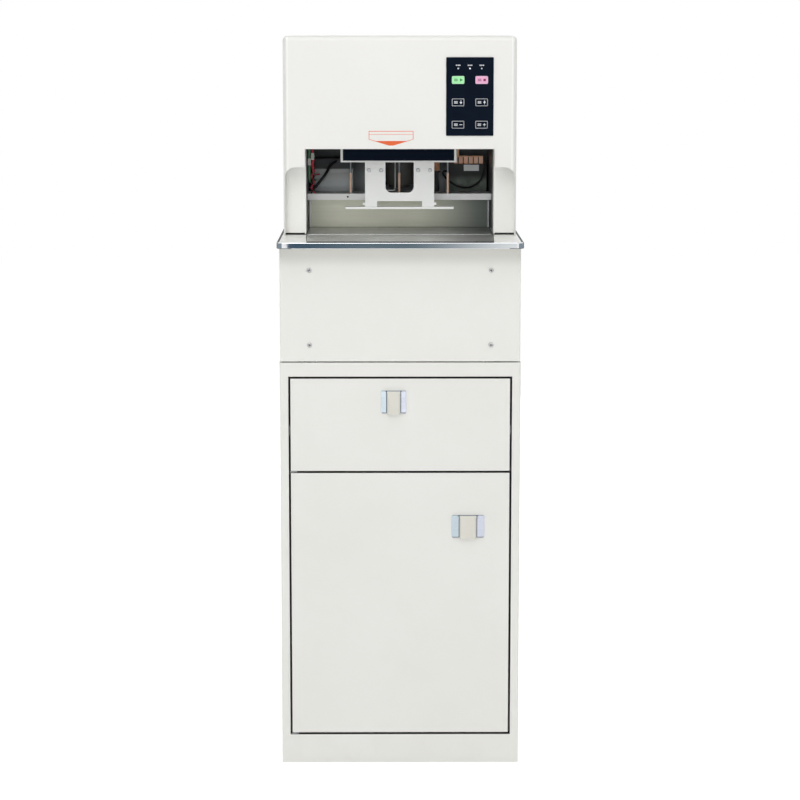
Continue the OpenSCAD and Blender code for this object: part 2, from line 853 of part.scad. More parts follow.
// Hood outline in plan, from the side and from the front, cut to one rounded cover
module hood_form(inset, extra) {
    w = hood_w - 2 * inset;
    r = hood_r - inset;
    y0 = y_hood + inset;
    z1 = z_top - inset;
    intersection() {
        translate([0, 0, z_table - extra]) linear_extrude(z1 - z_table + extra)
            front_round(w, y0, y_b + extra, r);
        translate([-w / 2, 0, 0]) rotate([90, 0, 90]) linear_extrude(w) {
            translate([y0 + r, z_table - extra]) square([y_b + extra - y0 - r, z1 - z_table + extra]);
            translate([y0, z_table - extra]) square([y_b + extra - y0, z1 - z_table + extra - r]);
            translate([y0 + r, z1 - r]) circle(r);
        }
        translate([0, y_b + extra, 0]) rotate([90, 0, 0]) linear_extrude(y_b + extra - y0) {
            translate([-w / 2, z_table - extra]) square([w, z1 - z_table + extra - r]);
            translate([-w / 2 + r, z_table - extra]) square([w - 2 * r, z1 - z_table + extra]);
            for (side = [-1, 1]) translate([side * (w / 2 - r), z1 - r]) circle(r);
        }
    }
}

// Folded hood with the stepped opening round the throat
module hood() {
    recess_w = hood_w - 2 * strip_w;
    color(paint) difference() {
        hood_form(0, 0);
        hood_form(hood_t, past);
        upright(y_hood - past, hood_t + hood_r) {
            translate([-throat_w / 2, z_table - past]) square([throat_w, throat_h + past]);
            translate([-recess_w / 2, z_table - past]) square([recess_w, lip_h - recess_r + past]);
            translate([-recess_w / 2 + recess_r, z_table - past])
                square([recess_w - 2 * recess_r, lip_h + past]);
            for (side = [-1, 1])
                translate([side * (recess_w / 2 - recess_r), z_table + lip_h - recess_r]) circle(recess_r);
        }
    }
}

// Rear panel inside the hood, with round upper corners that stay clear of the hood's own
module hood_back() {
    inner = hood_w / 2 - hood_t;
    r = hood_r - hood_t;
    top = z_top - hood_t;
    color(paint) difference() {
        upright(y_rear - sheet, sheet) {
            translate([-inner, z_table]) square([2 * inner, top - r - z_table]);
            translate([-inner + r, z_table]) square([2 * (inner - r), top - z_table]);
            for (side = [-1, 1]) translate([side * (inner - r), top - r]) circle(r - slide_gap);
        }
        for (x = [-vent_x, vent_x]) vents(x, z_table + hood_vent_rise);
    }
}

// Recessed covers on both sides of the throat, folded back along the side plates
module cheek_covers() {
    outer = hood_w / 2 - hood_t;
    color(paint) for (side = [0, 1]) mirror([side, 0, 0]) {
        span([cheek_x, y_cheek, z_table + seal_h], [outer, y_cheek + hood_t, cheek_top]);
        span([cheek_x, y_cheek, z_table + seal_h], [plate_x, y_cheek + cheek_return, cheek_top]);
    }
}

module sign_plate() {
    color(navy) span([sign_x - sign_w / 2, plate_y - sign_t, sign_low],
        [sign_x + sign_w / 2, plate_y, bridge_z + bridge_t]);
}

// Keys by column and row: the row counts down from the top
function key_place(column, row) = [
    keypad_x + (column - 0.5) * key_dx, 0, z_table + keypad_z + key_rise - row * key_dz
];
key_rise = 27.5;
lamp_rise = 46.4;
lamp_dx = 19.6;
lamp_z = z_table + keypad_z + lamp_rise;
lamp_d = 2.6;
key_proud = 0.3;

module keypad_panel() {
    color(navy) difference() {
        translate([keypad_x, 0, z_table + keypad_z]) upright(y_hood - keypad_t, keypad_t)
            round_rect(keypad_w, keypad_h, 1.5);
        for (column = [0, 1], row = [0, 1, 2]) translate(key_place(column, row))
            upright(y_hood - keypad_t - past, keypad_t + 2 * past)
                round_rect(key_w + 2 * slide_gap, key_h + 2 * slide_gap, 2.2);
        for (i = [-1, 0, 1])
            rod_y([keypad_x + i * lamp_dx, y_hood - keypad_t - past, lamp_z], lamp_d, keypad_t + 2 * past);
    }
}

module indicator_lamps() {
    color([0.95, 0.97, 1]) for (i = [-1, 0, 1])
        rod_y([keypad_x + i * lamp_dx, y_hood - keypad_t - 0.1, lamp_z], lamp_d - 0.1, keypad_t + 0.1);
}

module keypad_key(column, row, tint) {
    color(tint) translate(key_place(column, row))
        upright(y_hood - keypad_t - key_proud, keypad_t + key_proud - key_travel - 0.1)
            round_rect(key_w, key_h, 2);
}

module key_start() {
    keypad_key(0, 0, [0.55, 0.92, 0.6]);
}

module key_stop() {
    keypad_key(1, 0, [0.95, 0.63, 0.8]);
}

module key_press() {
    keypad_key(0, 1, navy);
}

module key_lift() {
    keypad_key(1, 1, navy);
}

module key_less() {
    keypad_key(0, 2, navy);
}

module key_more() {
    keypad_key(1, 2, navy);
}

module guide_beam() {
    color([0.78, 0.79, 0.79]) difference() {
        span([-plate_x, beam_y, z_beam], [plate_x, beam_y + beam_d, z_beam + beam_t]);
        drill_bores(z_beam, beam_t, drill_d + 4 * run_gap);
        for (x = [-column_x, column_x]) translate([x, column_y, z_beam - past])
            cylinder(d = column_d + run_gap, h = beam_t + 2 * past);
        rod_y([-drill_pitch - 5, beam_y - past, z_beam + beam_t / 2], 3, 7);
    }
}

// Carriage columns from the beam to the roof, and presser rods under the bridge
module guide_rods() {
    color([0.8, 0.8, 0.82]) for (x = [-column_x, column_x]) {
        translate([x, column_y, z_beam]) cylinder(d = column_d, h = roof_z - z_beam);
        translate([x, press_rod_y, press_rod_z]) cylinder(d = press_rod_d, h = bridge_z - press_rod_z);
    }
}

// Bent wire that leads the thread beside the middle drill
module thread_finger() {
    wire_d = 2.4;
    finger_rise = 68;
    bend = 4;
    foot = 9;
    x = -7.4;
    y = plate_y + bridge_d - 10;
    z = z_table + finger_rise;
    color([0.85, 0.85, 0.86]) {
        translate([x, y, z + bend]) cylinder(d = wire_d, h = bridge_z - z - bend);
        translate([x - bend, y, z + bend]) rotate([90, 0, 0]) rotate(-90) rotate_extrude(angle = 90)
            translate([bend, 0]) circle(d = wire_d);
        rod_x([x - bend - foot, y, z], wire_d, foot);
        translate([x - bend - foot, y, z]) sphere(d = wire_d);
    }
}

// White press plate with its window and the notch over the foot
module presser_plate() {
    color([0.87, 0.87, 0.86]) difference() {
        translate([0, 0, presser_z]) upright(presser_y, presser_t) difference() {
            union() {
                translate([-presser_w / 2, 0]) square([presser_w, presser_h]);
                translate([-presser_w / 2 - wing, wing_rise]) square([presser_w + 2 * wing, wing]);
            }
            translate([-window_w / 2, window_rise + window_r]) square([window_w, window_h - window_r]);
            translate([-window_w / 2 + window_r, window_rise]) square([window_w - 2 * window_r, window_h]);
            for (side = [-1, 1])
                translate([side * (window_w / 2 - window_r), window_rise + window_r]) circle(window_r);
            translate([-notch_w / 2, -past]) square([notch_w, notch_h + past]);
        }
        for (side = [-1, 1], x = presser_screw_x)
            rod_y([side * x, presser_y - past, presser_screw_z], presser_screw_d, presser_t + 2 * past);
    }
}

module presser_foot() {
    y0 = presser_y - foot_front;
    color([0.87, 0.87, 0.86])
        span([-foot_w / 2, y0, presser_z - foot_t], [foot_w / 2, y0 + foot_depth, presser_z]);
}

// Slide block of the presser: two legs with the rod bores, joined above the window
module presser_block() {
    y0 = presser_y + presser_t;
    x1 = presser_w / 2 - block_in;
    color(steel) difference() {
        union() {
            for (side = [0, 1]) mirror([side, 0, 0])
                span([block_x, y0, block_z], [x1, y0 + block_d, block_z + block_h]);
            span([-x1, y0, block_z + block_h - block_bar], [x1, y0 + block_d, block_z + block_h]);
        }
        for (x = [-column_x, column_x]) translate([x, press_rod_y, block_z - past])
            cylinder(d = press_rod_d + 2 * run_gap, h = block_h + 2 * past);
    }
}

// Drill carriage on its two columns, with the lift rack on its back
module carriage() {
    color(steel) {
        difference() {
            union() {
                span([-carriage_x, carriage_y, carriage_z],
                    [carriage_x, carriage_y + carriage_d, carriage_z + carriage_t]);
                span([-tab_x, carriage_y, carriage_z], [tab_x, tab_y1, carriage_z + carriage_t]);
            }
            drill_bores(carriage_z, carriage_t, spindle_d + 2 * run_gap);
            for (x = [-column_x, column_x]) translate([x, column_y, carriage_z - past])
                cylinder(d = column_d + 2 * run_gap, h = carriage_t + 2 * past);
            translate([0, motor_y, carriage_z - past])
                cylinder(d = motor_shaft_d + 2 * slide_gap, h = carriage_t + 2 * past);
        }
        lift_rack();
    }
}

// Half of the tooth thickness on the pitch line, less its share of the play
half_tooth = tooth_pitch / 4 - backlash / 4;
pressure = 20;
tooth_tip = gear_m;
tooth_root = 1.25 * gear_m;

// Straight-sided rack teeth about the pitch line, with a gap level with the pinion at rest
module lift_rack() {
    z0 = pinion_z - (rack_below - 0.5) * tooth_pitch;
    z1 = pinion_z + (rack_above + 0.5) * tooth_pitch;
    slope = tan(pressure);
    translate([-rack_w / 2, 0, 0]) rotate([90, 0, 90]) linear_extrude(rack_w) {
        translate([tab_y1, z0 - tooth_pitch / 2]) square([rack_back, z1 - z0]);
        for (i = [-rack_below + 1 : rack_above - 1])
            translate([rack_y, pinion_z + (i + 0.5) * tooth_pitch]) polygon([
                [-tooth_root - 0.1, -half_tooth - tooth_root * slope],
                [tooth_tip, -half_tooth + tooth_tip * slope],
                [tooth_tip, half_tooth - tooth_tip * slope],
                [-tooth_root - 0.1, half_tooth + tooth_root * slope]
            ]);
    }
}

// Involute pinion on its shaft, with one tooth in the rack's gap
function involute_turn(r, base) = let (a = acos(min(1, base / r))) tan(a) * 180 / PI - a;

module pinion_outline() {
    base = pitch_r * cos(pressure);
    root_r = pitch_r - tooth_root;
    tip_r = pitch_r + tooth_tip;
    half_angle = half_tooth / pitch_r * 180 / PI + involute_turn(pitch_r, base);
    steps = 5;
    flank = [
        for (i = [0 : steps]) let (r = base + (tip_r - base) * i / steps)
            [r, half_angle - involute_turn(r, base)]
    ];
    circle(root_r);
    for (k = [0 : pinion_teeth - 1]) rotate(180 + k * 360 / pinion_teeth) polygon(concat(
        [[root_r - 0.5, -root_r * sin(half_angle)]],
        [for (p = flank) [p[0] * cos(p[1]), -p[0] * sin(p[1])]],
        [for (i = [steps : -1 : 0]) let (p = flank[i]) [p[0] * cos(p[1]), p[0] * sin(p[1])]],
        [[root_r - 0.5, root_r * sin(half_angle)]]
    ));
}

module lift_pinion() {
    color(steel) translate([0, pinion_y, pinion_z]) {
        translate([-rack_w / 2, 0, 0]) rotate([90, 0, 90]) linear_extrude(rack_w) pinion_outline();
        rod_x([-ear_x - ear_t - 3, 0, 0], lift_shaft_d, 2 * ear_x + 2 * ear_t + 3 + lift_shaft_in);
        for (side = [0, 1]) mirror([side, 0, 0])
            rod_x([rack_w / 2, 0, 0], hub_d, ear_x - rack_w / 2 - slide_gap);
    }
}

// Worm gearbox on the right ear, with its motor upright
module lift_gearmotor() {
    x0 = ear_x + ear_t;
    half_h = gearbox_h / 2;
    color(dark) {
        difference() {
            span([x0, pinion_y - gearbox_w / 2, pinion_z - half_h],
                [x0 + gearbox_w, pinion_y + gearbox_w / 2, pinion_z + half_h]);
            rod_x([x0 - past, pinion_y, pinion_z],
                lift_shaft_d + 2 * slide_gap, lift_shaft_in + past + slide_gap);
        }
        translate([x0 + gearbox_w / 2, pinion_y, pinion_z + half_h]) {
            cylinder(d = lift_motor_d, h = lift_motor_h);
            cylinder(d = lift_cap_d, h = lift_cap_h);
        }
    }
}

// A flanged belt pulley from its lower face up
module pulley() {
    cylinder(d = pulley_d + 2 * flange_over, h = flange_t);
    cylinder(d = pulley_d, h = 2 * flange_t + belt_seat);
    translate([0, 0, flange_t + belt_seat]) cylinder(d = pulley_d + 2 * flange_over, h = flange_t);
}

// Spindle with its pulley, chuck and drill
module spindle(i) {
    color(steel) translate([i * drill_pitch, y_drill, 0]) {
        translate([0, 0, pulley_z]) pulley();
        translate([0, 0, carriage_z - slide_gap - past])
            cylinder(d = spindle_d, h = carriage_t + past + 3 * slide_gap);
        rotate_extrude() polygon([
            [0, drill_tip_z], [drill_d / 2, drill_tip_z + drill_point],
            [drill_d / 2, drill_shoulder_z - drill_step], [shank_d / 2, drill_shoulder_z],
            [shank_d / 2, chuck_z], [chuck_d / 2 - chuck_taper, chuck_z],
            [chuck_d / 2, chuck_z + chuck_nose], [chuck_d / 2, carriage_z - slide_gap],
            [0, carriage_z - slide_gap]
        ]);
    }
}

module spindle_left() {
    spindle(-1);
}

module spindle_middle() {
    spindle(0);
}

module spindle_right() {
    spindle(1);
}

module motor_pulley() {
    color(steel) translate([0, motor_y, 0]) {
        translate([0, 0, pulley_z]) pulley();
        translate([0, 0, carriage_z - motor_shaft_l])
            cylinder(d = motor_shaft_d, h = carriage_t + motor_shaft_l + past);
    }
}

module drill_motor() {
    color(dark) translate([0, motor_y, carriage_z - motor_l]) difference() {
        union() {
            cylinder(r = motor_r, h = motor_l);
            translate([0, 0, -motor_boss]) cylinder(r = motor_r * 0.6, h = motor_boss + past);
        }
        translate([0, 0, motor_l - motor_shaft_l - slide_gap])
            cylinder(d = motor_shaft_d + 2 * slide_gap, h = motor_shaft_l + past);
    }
}

// The belt's path in plan: round the outer spindles and the motor pulley, at a distance from their centres
function belt_path(r) = let (
    centres = [[-drill_pitch, y_drill], [drill_pitch, y_drill], [0, motor_y]],
    steps = 10,
    heading = [for (i = [0 : 2]) let (d = centres[(i + 1) % 3] - centres[i]) atan2(d[1], d[0])]
) [
    for (i = [0 : 2], k = [0 : steps])
        let (
            from = heading[(i + 2) % 3] - 90,
            turn = (heading[i] - heading[(i + 2) % 3] + 720) % 360,
            a = from + turn * k / steps
        )
        centres[i] + r * [cos(a), sin(a)]
];

module drill_belt() {
    inner = pulley_d / 2 + slide_gap;
    color(dark) translate([0, 0, pulley_z + flange_t + slide_gap]) linear_extrude(belt_seat - 2 * slide_gap)
        difference() {
            polygon(belt_path(inner + belt_t));
            polygon(belt_path(inner));
        }
}

// Slotted power supply behind the fence, on the left
module power_supply() {
    color([0.45, 0.47, 0.48]) difference() {
        span([supply_x, supply_y, z_table], [supply_x + supply_w, supply_y + supply_d, z_table + supply_h]);
        for (i = [0 : slot_count - 1])
            translate([supply_x + slot_in, supply_y - past, z_table + slot_rise + i * slot_step])
                cube([supply_w - 2 * slot_in, 2 + past, slot_h]);
    }
}

// Control box on the right, with a row of clamps along its top
module control_box() {
    clamp_y = supply_y + 8;
    clamp_z = z_table + control_h;
    color(dark) {
        span([control_x, supply_y, z_table], [control_x + control_w, supply_y + supply_d, clamp_z]);
        for (i = [0 : clamp_count - 1])
            translate([control_x + slot_in + i * clamp_step, clamp_y, clamp_z - past])
                cube([clamp_w, clamp_d, clamp_h + past]);
    }
}

// Points along a smooth curve through the chosen points
function curve_point(a, b, c, d, t) = 0.5 * (
    2 * b + (c - a) * t + (2 * a - 5 * b + 4 * c - d) * t * t + (3 * b - a - 3 * c + d) * t * t * t
);
function curve(p, n) = let (last = len(p) - 1) concat(
    [for (i = [0 : last - 1], k = [0 : n - 1])
        curve_point(p[max(i - 1, 0)], p[i], p[i + 1], p[min(i + 2, last)], k / n)],
    [p[last]]
);

// Round wire swept along a curve
module wire(points, d) {
    path = curve(points, 4);
    sides = 8;
    last = len(path) - 1;
    rings = [
        for (i = [0 : last])
            let (
                t0 = path[min(i + 1, last)] - path[max(i - 1, 0)],
                t = t0 / norm(t0),
                u0 = cross(t, [0.31, 0.95, 0.05]),
                u = u0 / norm(u0),
                v = cross(t, u)
            )
            for (k = [0 : sides - 1])
                path[i] + d / 2 * (cos(k * 360 / sides) * u + sin(k * 360 / sides) * v)
    ];
    walls = [
        for (i = [0 : last - 1], k = [0 : sides - 1])
            let (a = i * sides + k, b = i * sides + (k + 1) % sides)
            each [[a, a + sides, b], [b, a + sides, b + sides]]
    ];
    caps = [
        for (k = [1 : sides - 2])
            each [[0, k, k + 1], [last * sides, last * sides + k + 1, last * sides + k]]
    ];
    polyhedron(rings, concat(walls, caps));
}

// Wires along the left side plate and the black leads of the boxes, from the table's corners at the fence
left_corner = [-plate_x, y_fence, z_table];
right_corner = [plate_x, y_fence, z_table];
green_route = [
    [4, -55, 201], [4, -55, 163], [4, -53, 113], [4, -41, 85], [4, 5, 79],
    [6, 45, 79], [12, 57, 79], [12, 64.3, 79]
];
red_route = [
    [9, -49, 201], [9, -49, 163], [10, -47, 121], [10, -35, 97], [10, 7, 91],
    [13, 45, 89], [18, 57, 89], [18, 64.3, 89]
];
lead_route = [
    [0.6, 25, 65], [8, 25, 65], [17, 27, 74], [30, 32, 91], [38, 43, 105],
    [47, 55, 112], [48, 64.3, 112]
];
loop_route = [
    [-0.6, 49, 113], [-6, 49, 112], [-14, 49, 81], [-32, 49, 67], [-52, 49, 67],
    [-68, 50, 75], [-80, 57, 87], [-81, 75, 93], [-77, 83, 93], [-70.7, 83, 93]
];

module wiring() {
    color([0.2, 0.55, 0.3]) translate(left_corner) wire(green_route, 2.6);
    color([0.8, 0.12, 0.12]) translate(left_corner) wire(red_route, 2.6);
    color(dark) translate(left_corner) wire(lead_route, 5);
    color(dark) translate(right_corner) wire(loop_route, 3.4);
}

cabinet_plinth();
cabinet_shell();
cabinet_top();
drawer_deck();
drawer_rails();
door_hinges();
door_catch();
drawer_front();
drawer_tray();
drawer_latch_plate();
drawer_paddle();
door_panel();
door_latch_plate();
door_paddle();
body_feet();
body_base();
body_cover();
body_back();
cover_screws();
lower_frame();
thread_cone();
power_inlet();
power_switch();
table_slab();
table_trim();
work_plate();
paper_fence();
head_frame();
roof_plate();
guide_beam();
guide_rods();
sign_plate();
thread_finger();
presser_plate();
presser_foot();
presser_block();
carriage();
drill_motor();
drill_belt();
motor_pulley();
spindle_left();
spindle_middle();
spindle_right();
lift_pinion();
lift_gearmotor();
power_supply();
control_box();
wiring();
hood();
hood_back();
cheek_covers();
keypad_panel();
indicator_lamps();
key_start();
key_stop();
key_press();
key_lift();
key_less();
key_more();
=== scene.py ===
# %% [markdown]
# # A thread binding machine
# The machine stands on the floor: a cabinet with a drawer and a door, a body with a chrome-edged table on it, and a
# hood over three drills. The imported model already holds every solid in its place, in metres, so this lesson gives each
# of them its finish and adds the small things that are too fine for the solids.

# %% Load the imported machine
import math
import bpy
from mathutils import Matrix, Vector


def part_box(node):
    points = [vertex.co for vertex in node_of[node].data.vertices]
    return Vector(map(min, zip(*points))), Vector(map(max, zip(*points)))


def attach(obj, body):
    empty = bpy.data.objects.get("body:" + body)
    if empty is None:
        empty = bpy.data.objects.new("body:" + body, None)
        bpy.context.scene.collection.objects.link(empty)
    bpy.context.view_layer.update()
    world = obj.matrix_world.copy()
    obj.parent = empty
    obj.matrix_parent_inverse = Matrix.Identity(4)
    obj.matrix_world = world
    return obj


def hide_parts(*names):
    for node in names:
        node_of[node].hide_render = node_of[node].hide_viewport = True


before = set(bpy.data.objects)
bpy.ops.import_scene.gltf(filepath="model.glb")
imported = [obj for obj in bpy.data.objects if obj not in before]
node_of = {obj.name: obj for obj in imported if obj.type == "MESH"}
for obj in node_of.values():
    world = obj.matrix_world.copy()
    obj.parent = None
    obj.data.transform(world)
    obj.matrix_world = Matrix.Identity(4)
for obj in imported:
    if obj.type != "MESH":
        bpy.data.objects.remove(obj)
scene = bpy.context.scene
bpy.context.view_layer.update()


def deselect():
    bpy.ops.object.select_all(action="DESELECT")


deselect()

# %% [markdown]
# ## Camera
# The photograph looks straight at the front from a little above the hood, from about four metres away. A long lens
# could be guessed by eye; here its length, height and pitch come from two facts that the picture gives: the upright
# edges lean together slowly, and the table shows its top while the hood hides its own.

# %% Place the camera
picture_px = 800
focal_px = 2437
sensor_mm = 36
camera_data = bpy.data.cameras.new("front_camera")
camera_data.sensor_width = sensor_mm
camera_data.lens = sensor_mm * focal_px / picture_px
camera = bpy.data.objects.new("front_camera", camera_data)
scene.collection.objects.link(camera)
camera.location = (-0.025, -4.205, 1.228)
camera.rotation_euler = (math.radians(81.39), 0, math.radians(-0.353))
scene.camera = camera
print("lens:", round(camera_data.lens, 1), "mm")

# %% [markdown]
# ## Finishes as sums
# Every finish below is a few patterns added and multiplied, such as a grain times a strength. Linking nodes one by one
# hides that sum, so a small class wraps a socket and lets Python's own operators make the Math nodes. One method makes
# every other node: its settings are set first and its sockets after, because some settings change the sockets.

# %% A socket that can be added and multiplied
class Wire:
    def __init__(self, nodes, socket):
        self.nodes = nodes
        self.socket = socket

    def math(self, operation, left, right):
        return self.nodes.node("ShaderNodeMath", {"operation": operation}, {0: left, 1: right})

    def __add__(self, other):
        return self.math("ADD", self, other)

    def __radd__(self, other):
        return self.math("ADD", other, self)

    def __sub__(self, other):
        return self.math("SUBTRACT", self, other)

    def __rsub__(self, other):
        return self.math("SUBTRACT", other, self)

    def __mul__(self, other):
        return self.math("MULTIPLY", self, other)

    def __rmul__(self, other):
        return self.math("MULTIPLY", other, self)

    def __gt__(self, other):
        return self.math("GREATER_THAN", self, other)

    def __lt__(self, other):
        return self.math("LESS_THAN", self, other)

    def __abs__(self):
        return self.math("ABSOLUTE", self, 0.0)


# %% The one method that makes nodes
class Nodes:
    def __init__(self, tree):
        self.tree = tree

    def node(self, kind, settings, sockets, output=0):
        made = self.tree.nodes.new(kind)
        for name, value in settings.items():
            setattr(made, name, value)
        for name, value in sockets.items():
            if isinstance(value, Wire):
                self.tree.links.new(value.socket, made.inputs[name])
            else:
                made.inputs[name].default_value = value
        return Wire(self, made.outputs[output])

    def ray(self, kind):
        return self.node("ShaderNodeLightPath", {}, {}, "Is " + kind + " Ray")

    def most(self, first, *others):
        for other in others:
            first = first.math("MAXIMUM", first, other)
        return first


# %% A finish: patterns on a piece's own coordinates
class Finish(Nodes):
    def __init__(self, name):
        self.material = bpy.data.materials.new(name)
        self.material.use_nodes = True
        super().__init__(self.material.node_tree)
        self.shader = self.tree.nodes["Principled BSDF"]
        self.object_place = None

    def place(self, stretch=(1, 1, 1)):
        if self.object_place is None:
            self.object_place = self.node("ShaderNodeTexCoord", {}, {}, "Object")
        return self.node("ShaderNodeMapping", {}, {"Vector": self.object_place, "Scale": stretch})

    def axis(self, letter):
        return self.node("ShaderNodeSeparateXYZ", {}, {"Vector": self.place()}, letter)

    def noise(self, scale, detail=2, stretch=(1, 1, 1)):
        sockets = {"Vector": self.place(stretch), "Scale": scale, "Detail": detail, "Roughness": 0.55}
        return self.node("ShaderNodeTexNoise", {}, sockets, "Fac")

    def ramp(self, value, low, high):
        sockets = {"Value": value, "From Min": low, "From Max": high}
        return self.node("ShaderNodeMapRange", {"interpolation_type": "SMOOTHSTEP"}, sockets)

    def between(self, value, low, high, soft):
        return self.ramp(value, low - soft, low + soft) * (1 - self.ramp(value, high - soft, high + soft))

    def edge_distance(self, low, high):
        across = (high.x - low.x) / 2 - abs(self.axis("X") - (low.x + high.x) / 2)
        along = (high.z - low.z) / 2 - abs(self.axis("Z") - (low.z + high.z) / 2)
        return across.math("MINIMUM", across, along)

    def mix(self, mask, first, second):
        first = first if isinstance(first, Wire) else (*first, 1)
        second = second if isinstance(second, Wire) else (*second, 1)
        return self.node("ShaderNodeMix", {"data_type": "RGBA"}, {0: mask, 6: first, 7: second}, 2)

    def set(self, **values):
        for name, value in values.items():
            socket = self.shader.inputs[name.replace("_", " ").title()]
            if isinstance(value, Wire):
                self.tree.links.new(value.socket, socket)
            else:
                socket.default_value = (*value, 1) if isinstance(value, tuple) else value

    def shine(self, level):
        self.shader.inputs["Specular IOR Level"].default_value = level

    def bump(self, height, depth):
        sockets = {"Height": height, "Distance": depth, "Strength": 1.0}
        self.set(Normal=self.node("ShaderNodeBump", {}, sockets))


def wear(finish, names):
    for name in names:
        node_of[name].data.materials.clear()
        node_of[name].data.materials.append(finish.material)
    print(finish.material.name, "on", len(names), "solids")

# %% [markdown]
# ## Floor and light
# A maker's picture of such a machine has a white ground and soft light with little shadow. A lit white floor would
# never be as white as the background, so the camera sees a white world and a floor that shines by itself, while the
# light that falls on the machine stays at a plain level. Reflections see the white world too, but only a fifth of the
# floor's own shine, or else chrome would mirror nothing but white.

# %% The white world
scene.view_settings.view_transform = "Standard"
world = bpy.data.worlds.new("studio")
scene.world = world
world.use_nodes = True
sky = Nodes(world.node_tree)
seen = sky.most(sky.ray("Camera"), sky.ray("Transmission"), sky.ray("Glossy"))
level = sky.node("ShaderNodeMapRange", {}, {"Value": seen, "To Min": 0.42, "To Max": 1.0})
background = world.node_tree.nodes["Background"]
background.inputs["Color"].default_value = (1, 1, 1, 1)
world.node_tree.links.new(level.socket, background.inputs["Strength"])
print("world nodes:", len(world.node_tree.nodes))

# %% The pale floor
bpy.ops.mesh.primitive_plane_add(size=14, location=(0, 2, 0))
floor = bpy.context.object
floor.name = "floor"
floor_finish = Finish("pale_floor")
floor_finish.set(Base_Color=(0.86, 0.86, 0.86), Roughness=0.9, Emission_Strength=1.0)
floor_finish.shine(0.1)
floor_seen = floor_finish.most(floor_finish.ray("Camera"), 0.2 * floor_finish.ray("Glossy"))
floor_finish.set(Emission_Color=floor_finish.mix(floor_seen, (0, 0, 0), (0.62, 0.62, 0.62)))
floor.data.materials.append(floor_finish.material)
print("floor:", [round(side, 1) for side in floor.dimensions], "m")


# %% Soft lamps all round
def soft_lamp(name, place, aim, size, watts, mirrored=True):
    data = bpy.data.lights.new(name, "AREA")
    data.shape = "DISK"
    data.size = size
    data.energy = watts
    lamp = bpy.data.objects.new(name, data)
    lamp.location = place
    lamp.rotation_euler = (Vector(aim) - Vector(place)).to_track_quat("-Z", "Y").to_euler()
    scene.collection.objects.link(lamp)
    lamp.visible_camera = False
    lamp.visible_glossy = mirrored
    print(name, watts, "W")


soft_lamp("front_lamp", (-0.3, -4.6, 1.0), aim=(0, 0, 0.8), size=1.6, watts=50, mirrored=False)
soft_lamp("key_lamp", (-0.7, -3.3, 3.4), aim=(0, 0, 0.7), size=1.8, watts=26)
soft_lamp("fill_lamp", (2.6, -2.6, 1.6), aim=(0, 0, 0.7), size=2.0, watts=4)
soft_lamp("top_lamp", (0, -1.3, 3.2), aim=(0, -0.15, 0.88), size=1.6, watts=13)
soft_lamp("left_lamp", (-3.4, 0.9, 1.5), aim=(0, 0.1, 0.7), size=1.8, watts=34, mirrored=False)
soft_lamp("right_lamp", (3.4, 0.9, 1.5), aim=(0, 0.1, 0.7), size=1.8, watts=34, mirrored=False)
soft_lamp("back_lamp", (0.6, 3.6, 1.6), aim=(0, 0.2, 0.7), size=1.8, watts=40, mirrored=False)

# %% [markdown]
# ## Cards for the chrome
# Chrome in a white room is white and loses its shape. Photographers stand grey cards round a bright edge, out of the
# picture, so that its flat faces mirror a card and only its rounded edges mirror the white room. The cards here are
# planes that reflections alone can see. One stands in front, and its colour fades to the right as the band does in the
# photograph. One leans on each side, so that the side arms mirror it from low and from high.

# %% A card that only reflections see
def stand_card(name, place, turn, size, finish):
    deselect()
    bpy.ops.mesh.primitive_plane_add(size=1, location=place, rotation=turn)
    card = bpy.context.object
    card.name = name
    card.scale = (*size, 1)
    bpy.ops.object.transform_apply(location=True, rotation=True, scale=True)
    card.data.materials.append(finish.material)
    for ray in ("camera", "diffuse", "shadow", "transmission", "volume_scatter"):
        setattr(card, "visible_" + ray, False)
    print(name, "is", size, "m")


def card_finish(name):
    finish = Finish(name)
    finish.set(Base_Color=(0, 0, 0), Roughness=1.0, Emission_Strength=1.0)
    return finish


# %% Card in front of the table's edge
front_colour = card_finish("front_card_colour")
front_fade = front_colour.ramp(front_colour.axis("X"), 0.02, 0.42)
front_blue = front_colour.ramp(front_colour.axis("X"), -0.30, -0.06)
front_left = front_colour.mix(front_blue, (0.050, 0.090, 0.134), (0.122, 0.166, 0.196))
front_colour.set(Emission_Color=front_colour.mix(front_fade, front_left, (0.87, 0.89, 0.89)))
upright = (math.radians(90), 0, 0)
stand_card("front_card", (0.1515, -3.0, 0.734), upright, (0.897, 0.452), front_colour)

# %% Leaning cards at the sides
side_colour = card_finish("side_card_colour")
side_height = side_colour.ramp(side_colour.axis("Z"), 0.1, 0.8)
side_colour.set(Emission_Color=side_colour.mix(side_height, (0.36, 0.41, 0.45), (0.22, 0.27, 0.31)))
lean = math.radians(34.7)
for side, name in ((-1, "left_card"), (1, "right_card")):
    stand_card(name, (1.85 * side, 0, 0.47), (0, -lean * side, 0), (1.58, 6.0), side_colour)

# %% [markdown]
# ## Painted sheet steel
# Cabinet, body and hood are folded sheet with a baked satin coat: warm white, with a skin like fine orange peel, and a
# little duller and darker where hands and feet reach it. A plain colour would look like plastic, so fine noise lifts
# the surface by a few hundredths of a millimetre and broad noise moves the colour by a percent or two. One function
# makes every coat, because they mostly differ in colour. It keeps the tint, so that a coat can lay more over it.

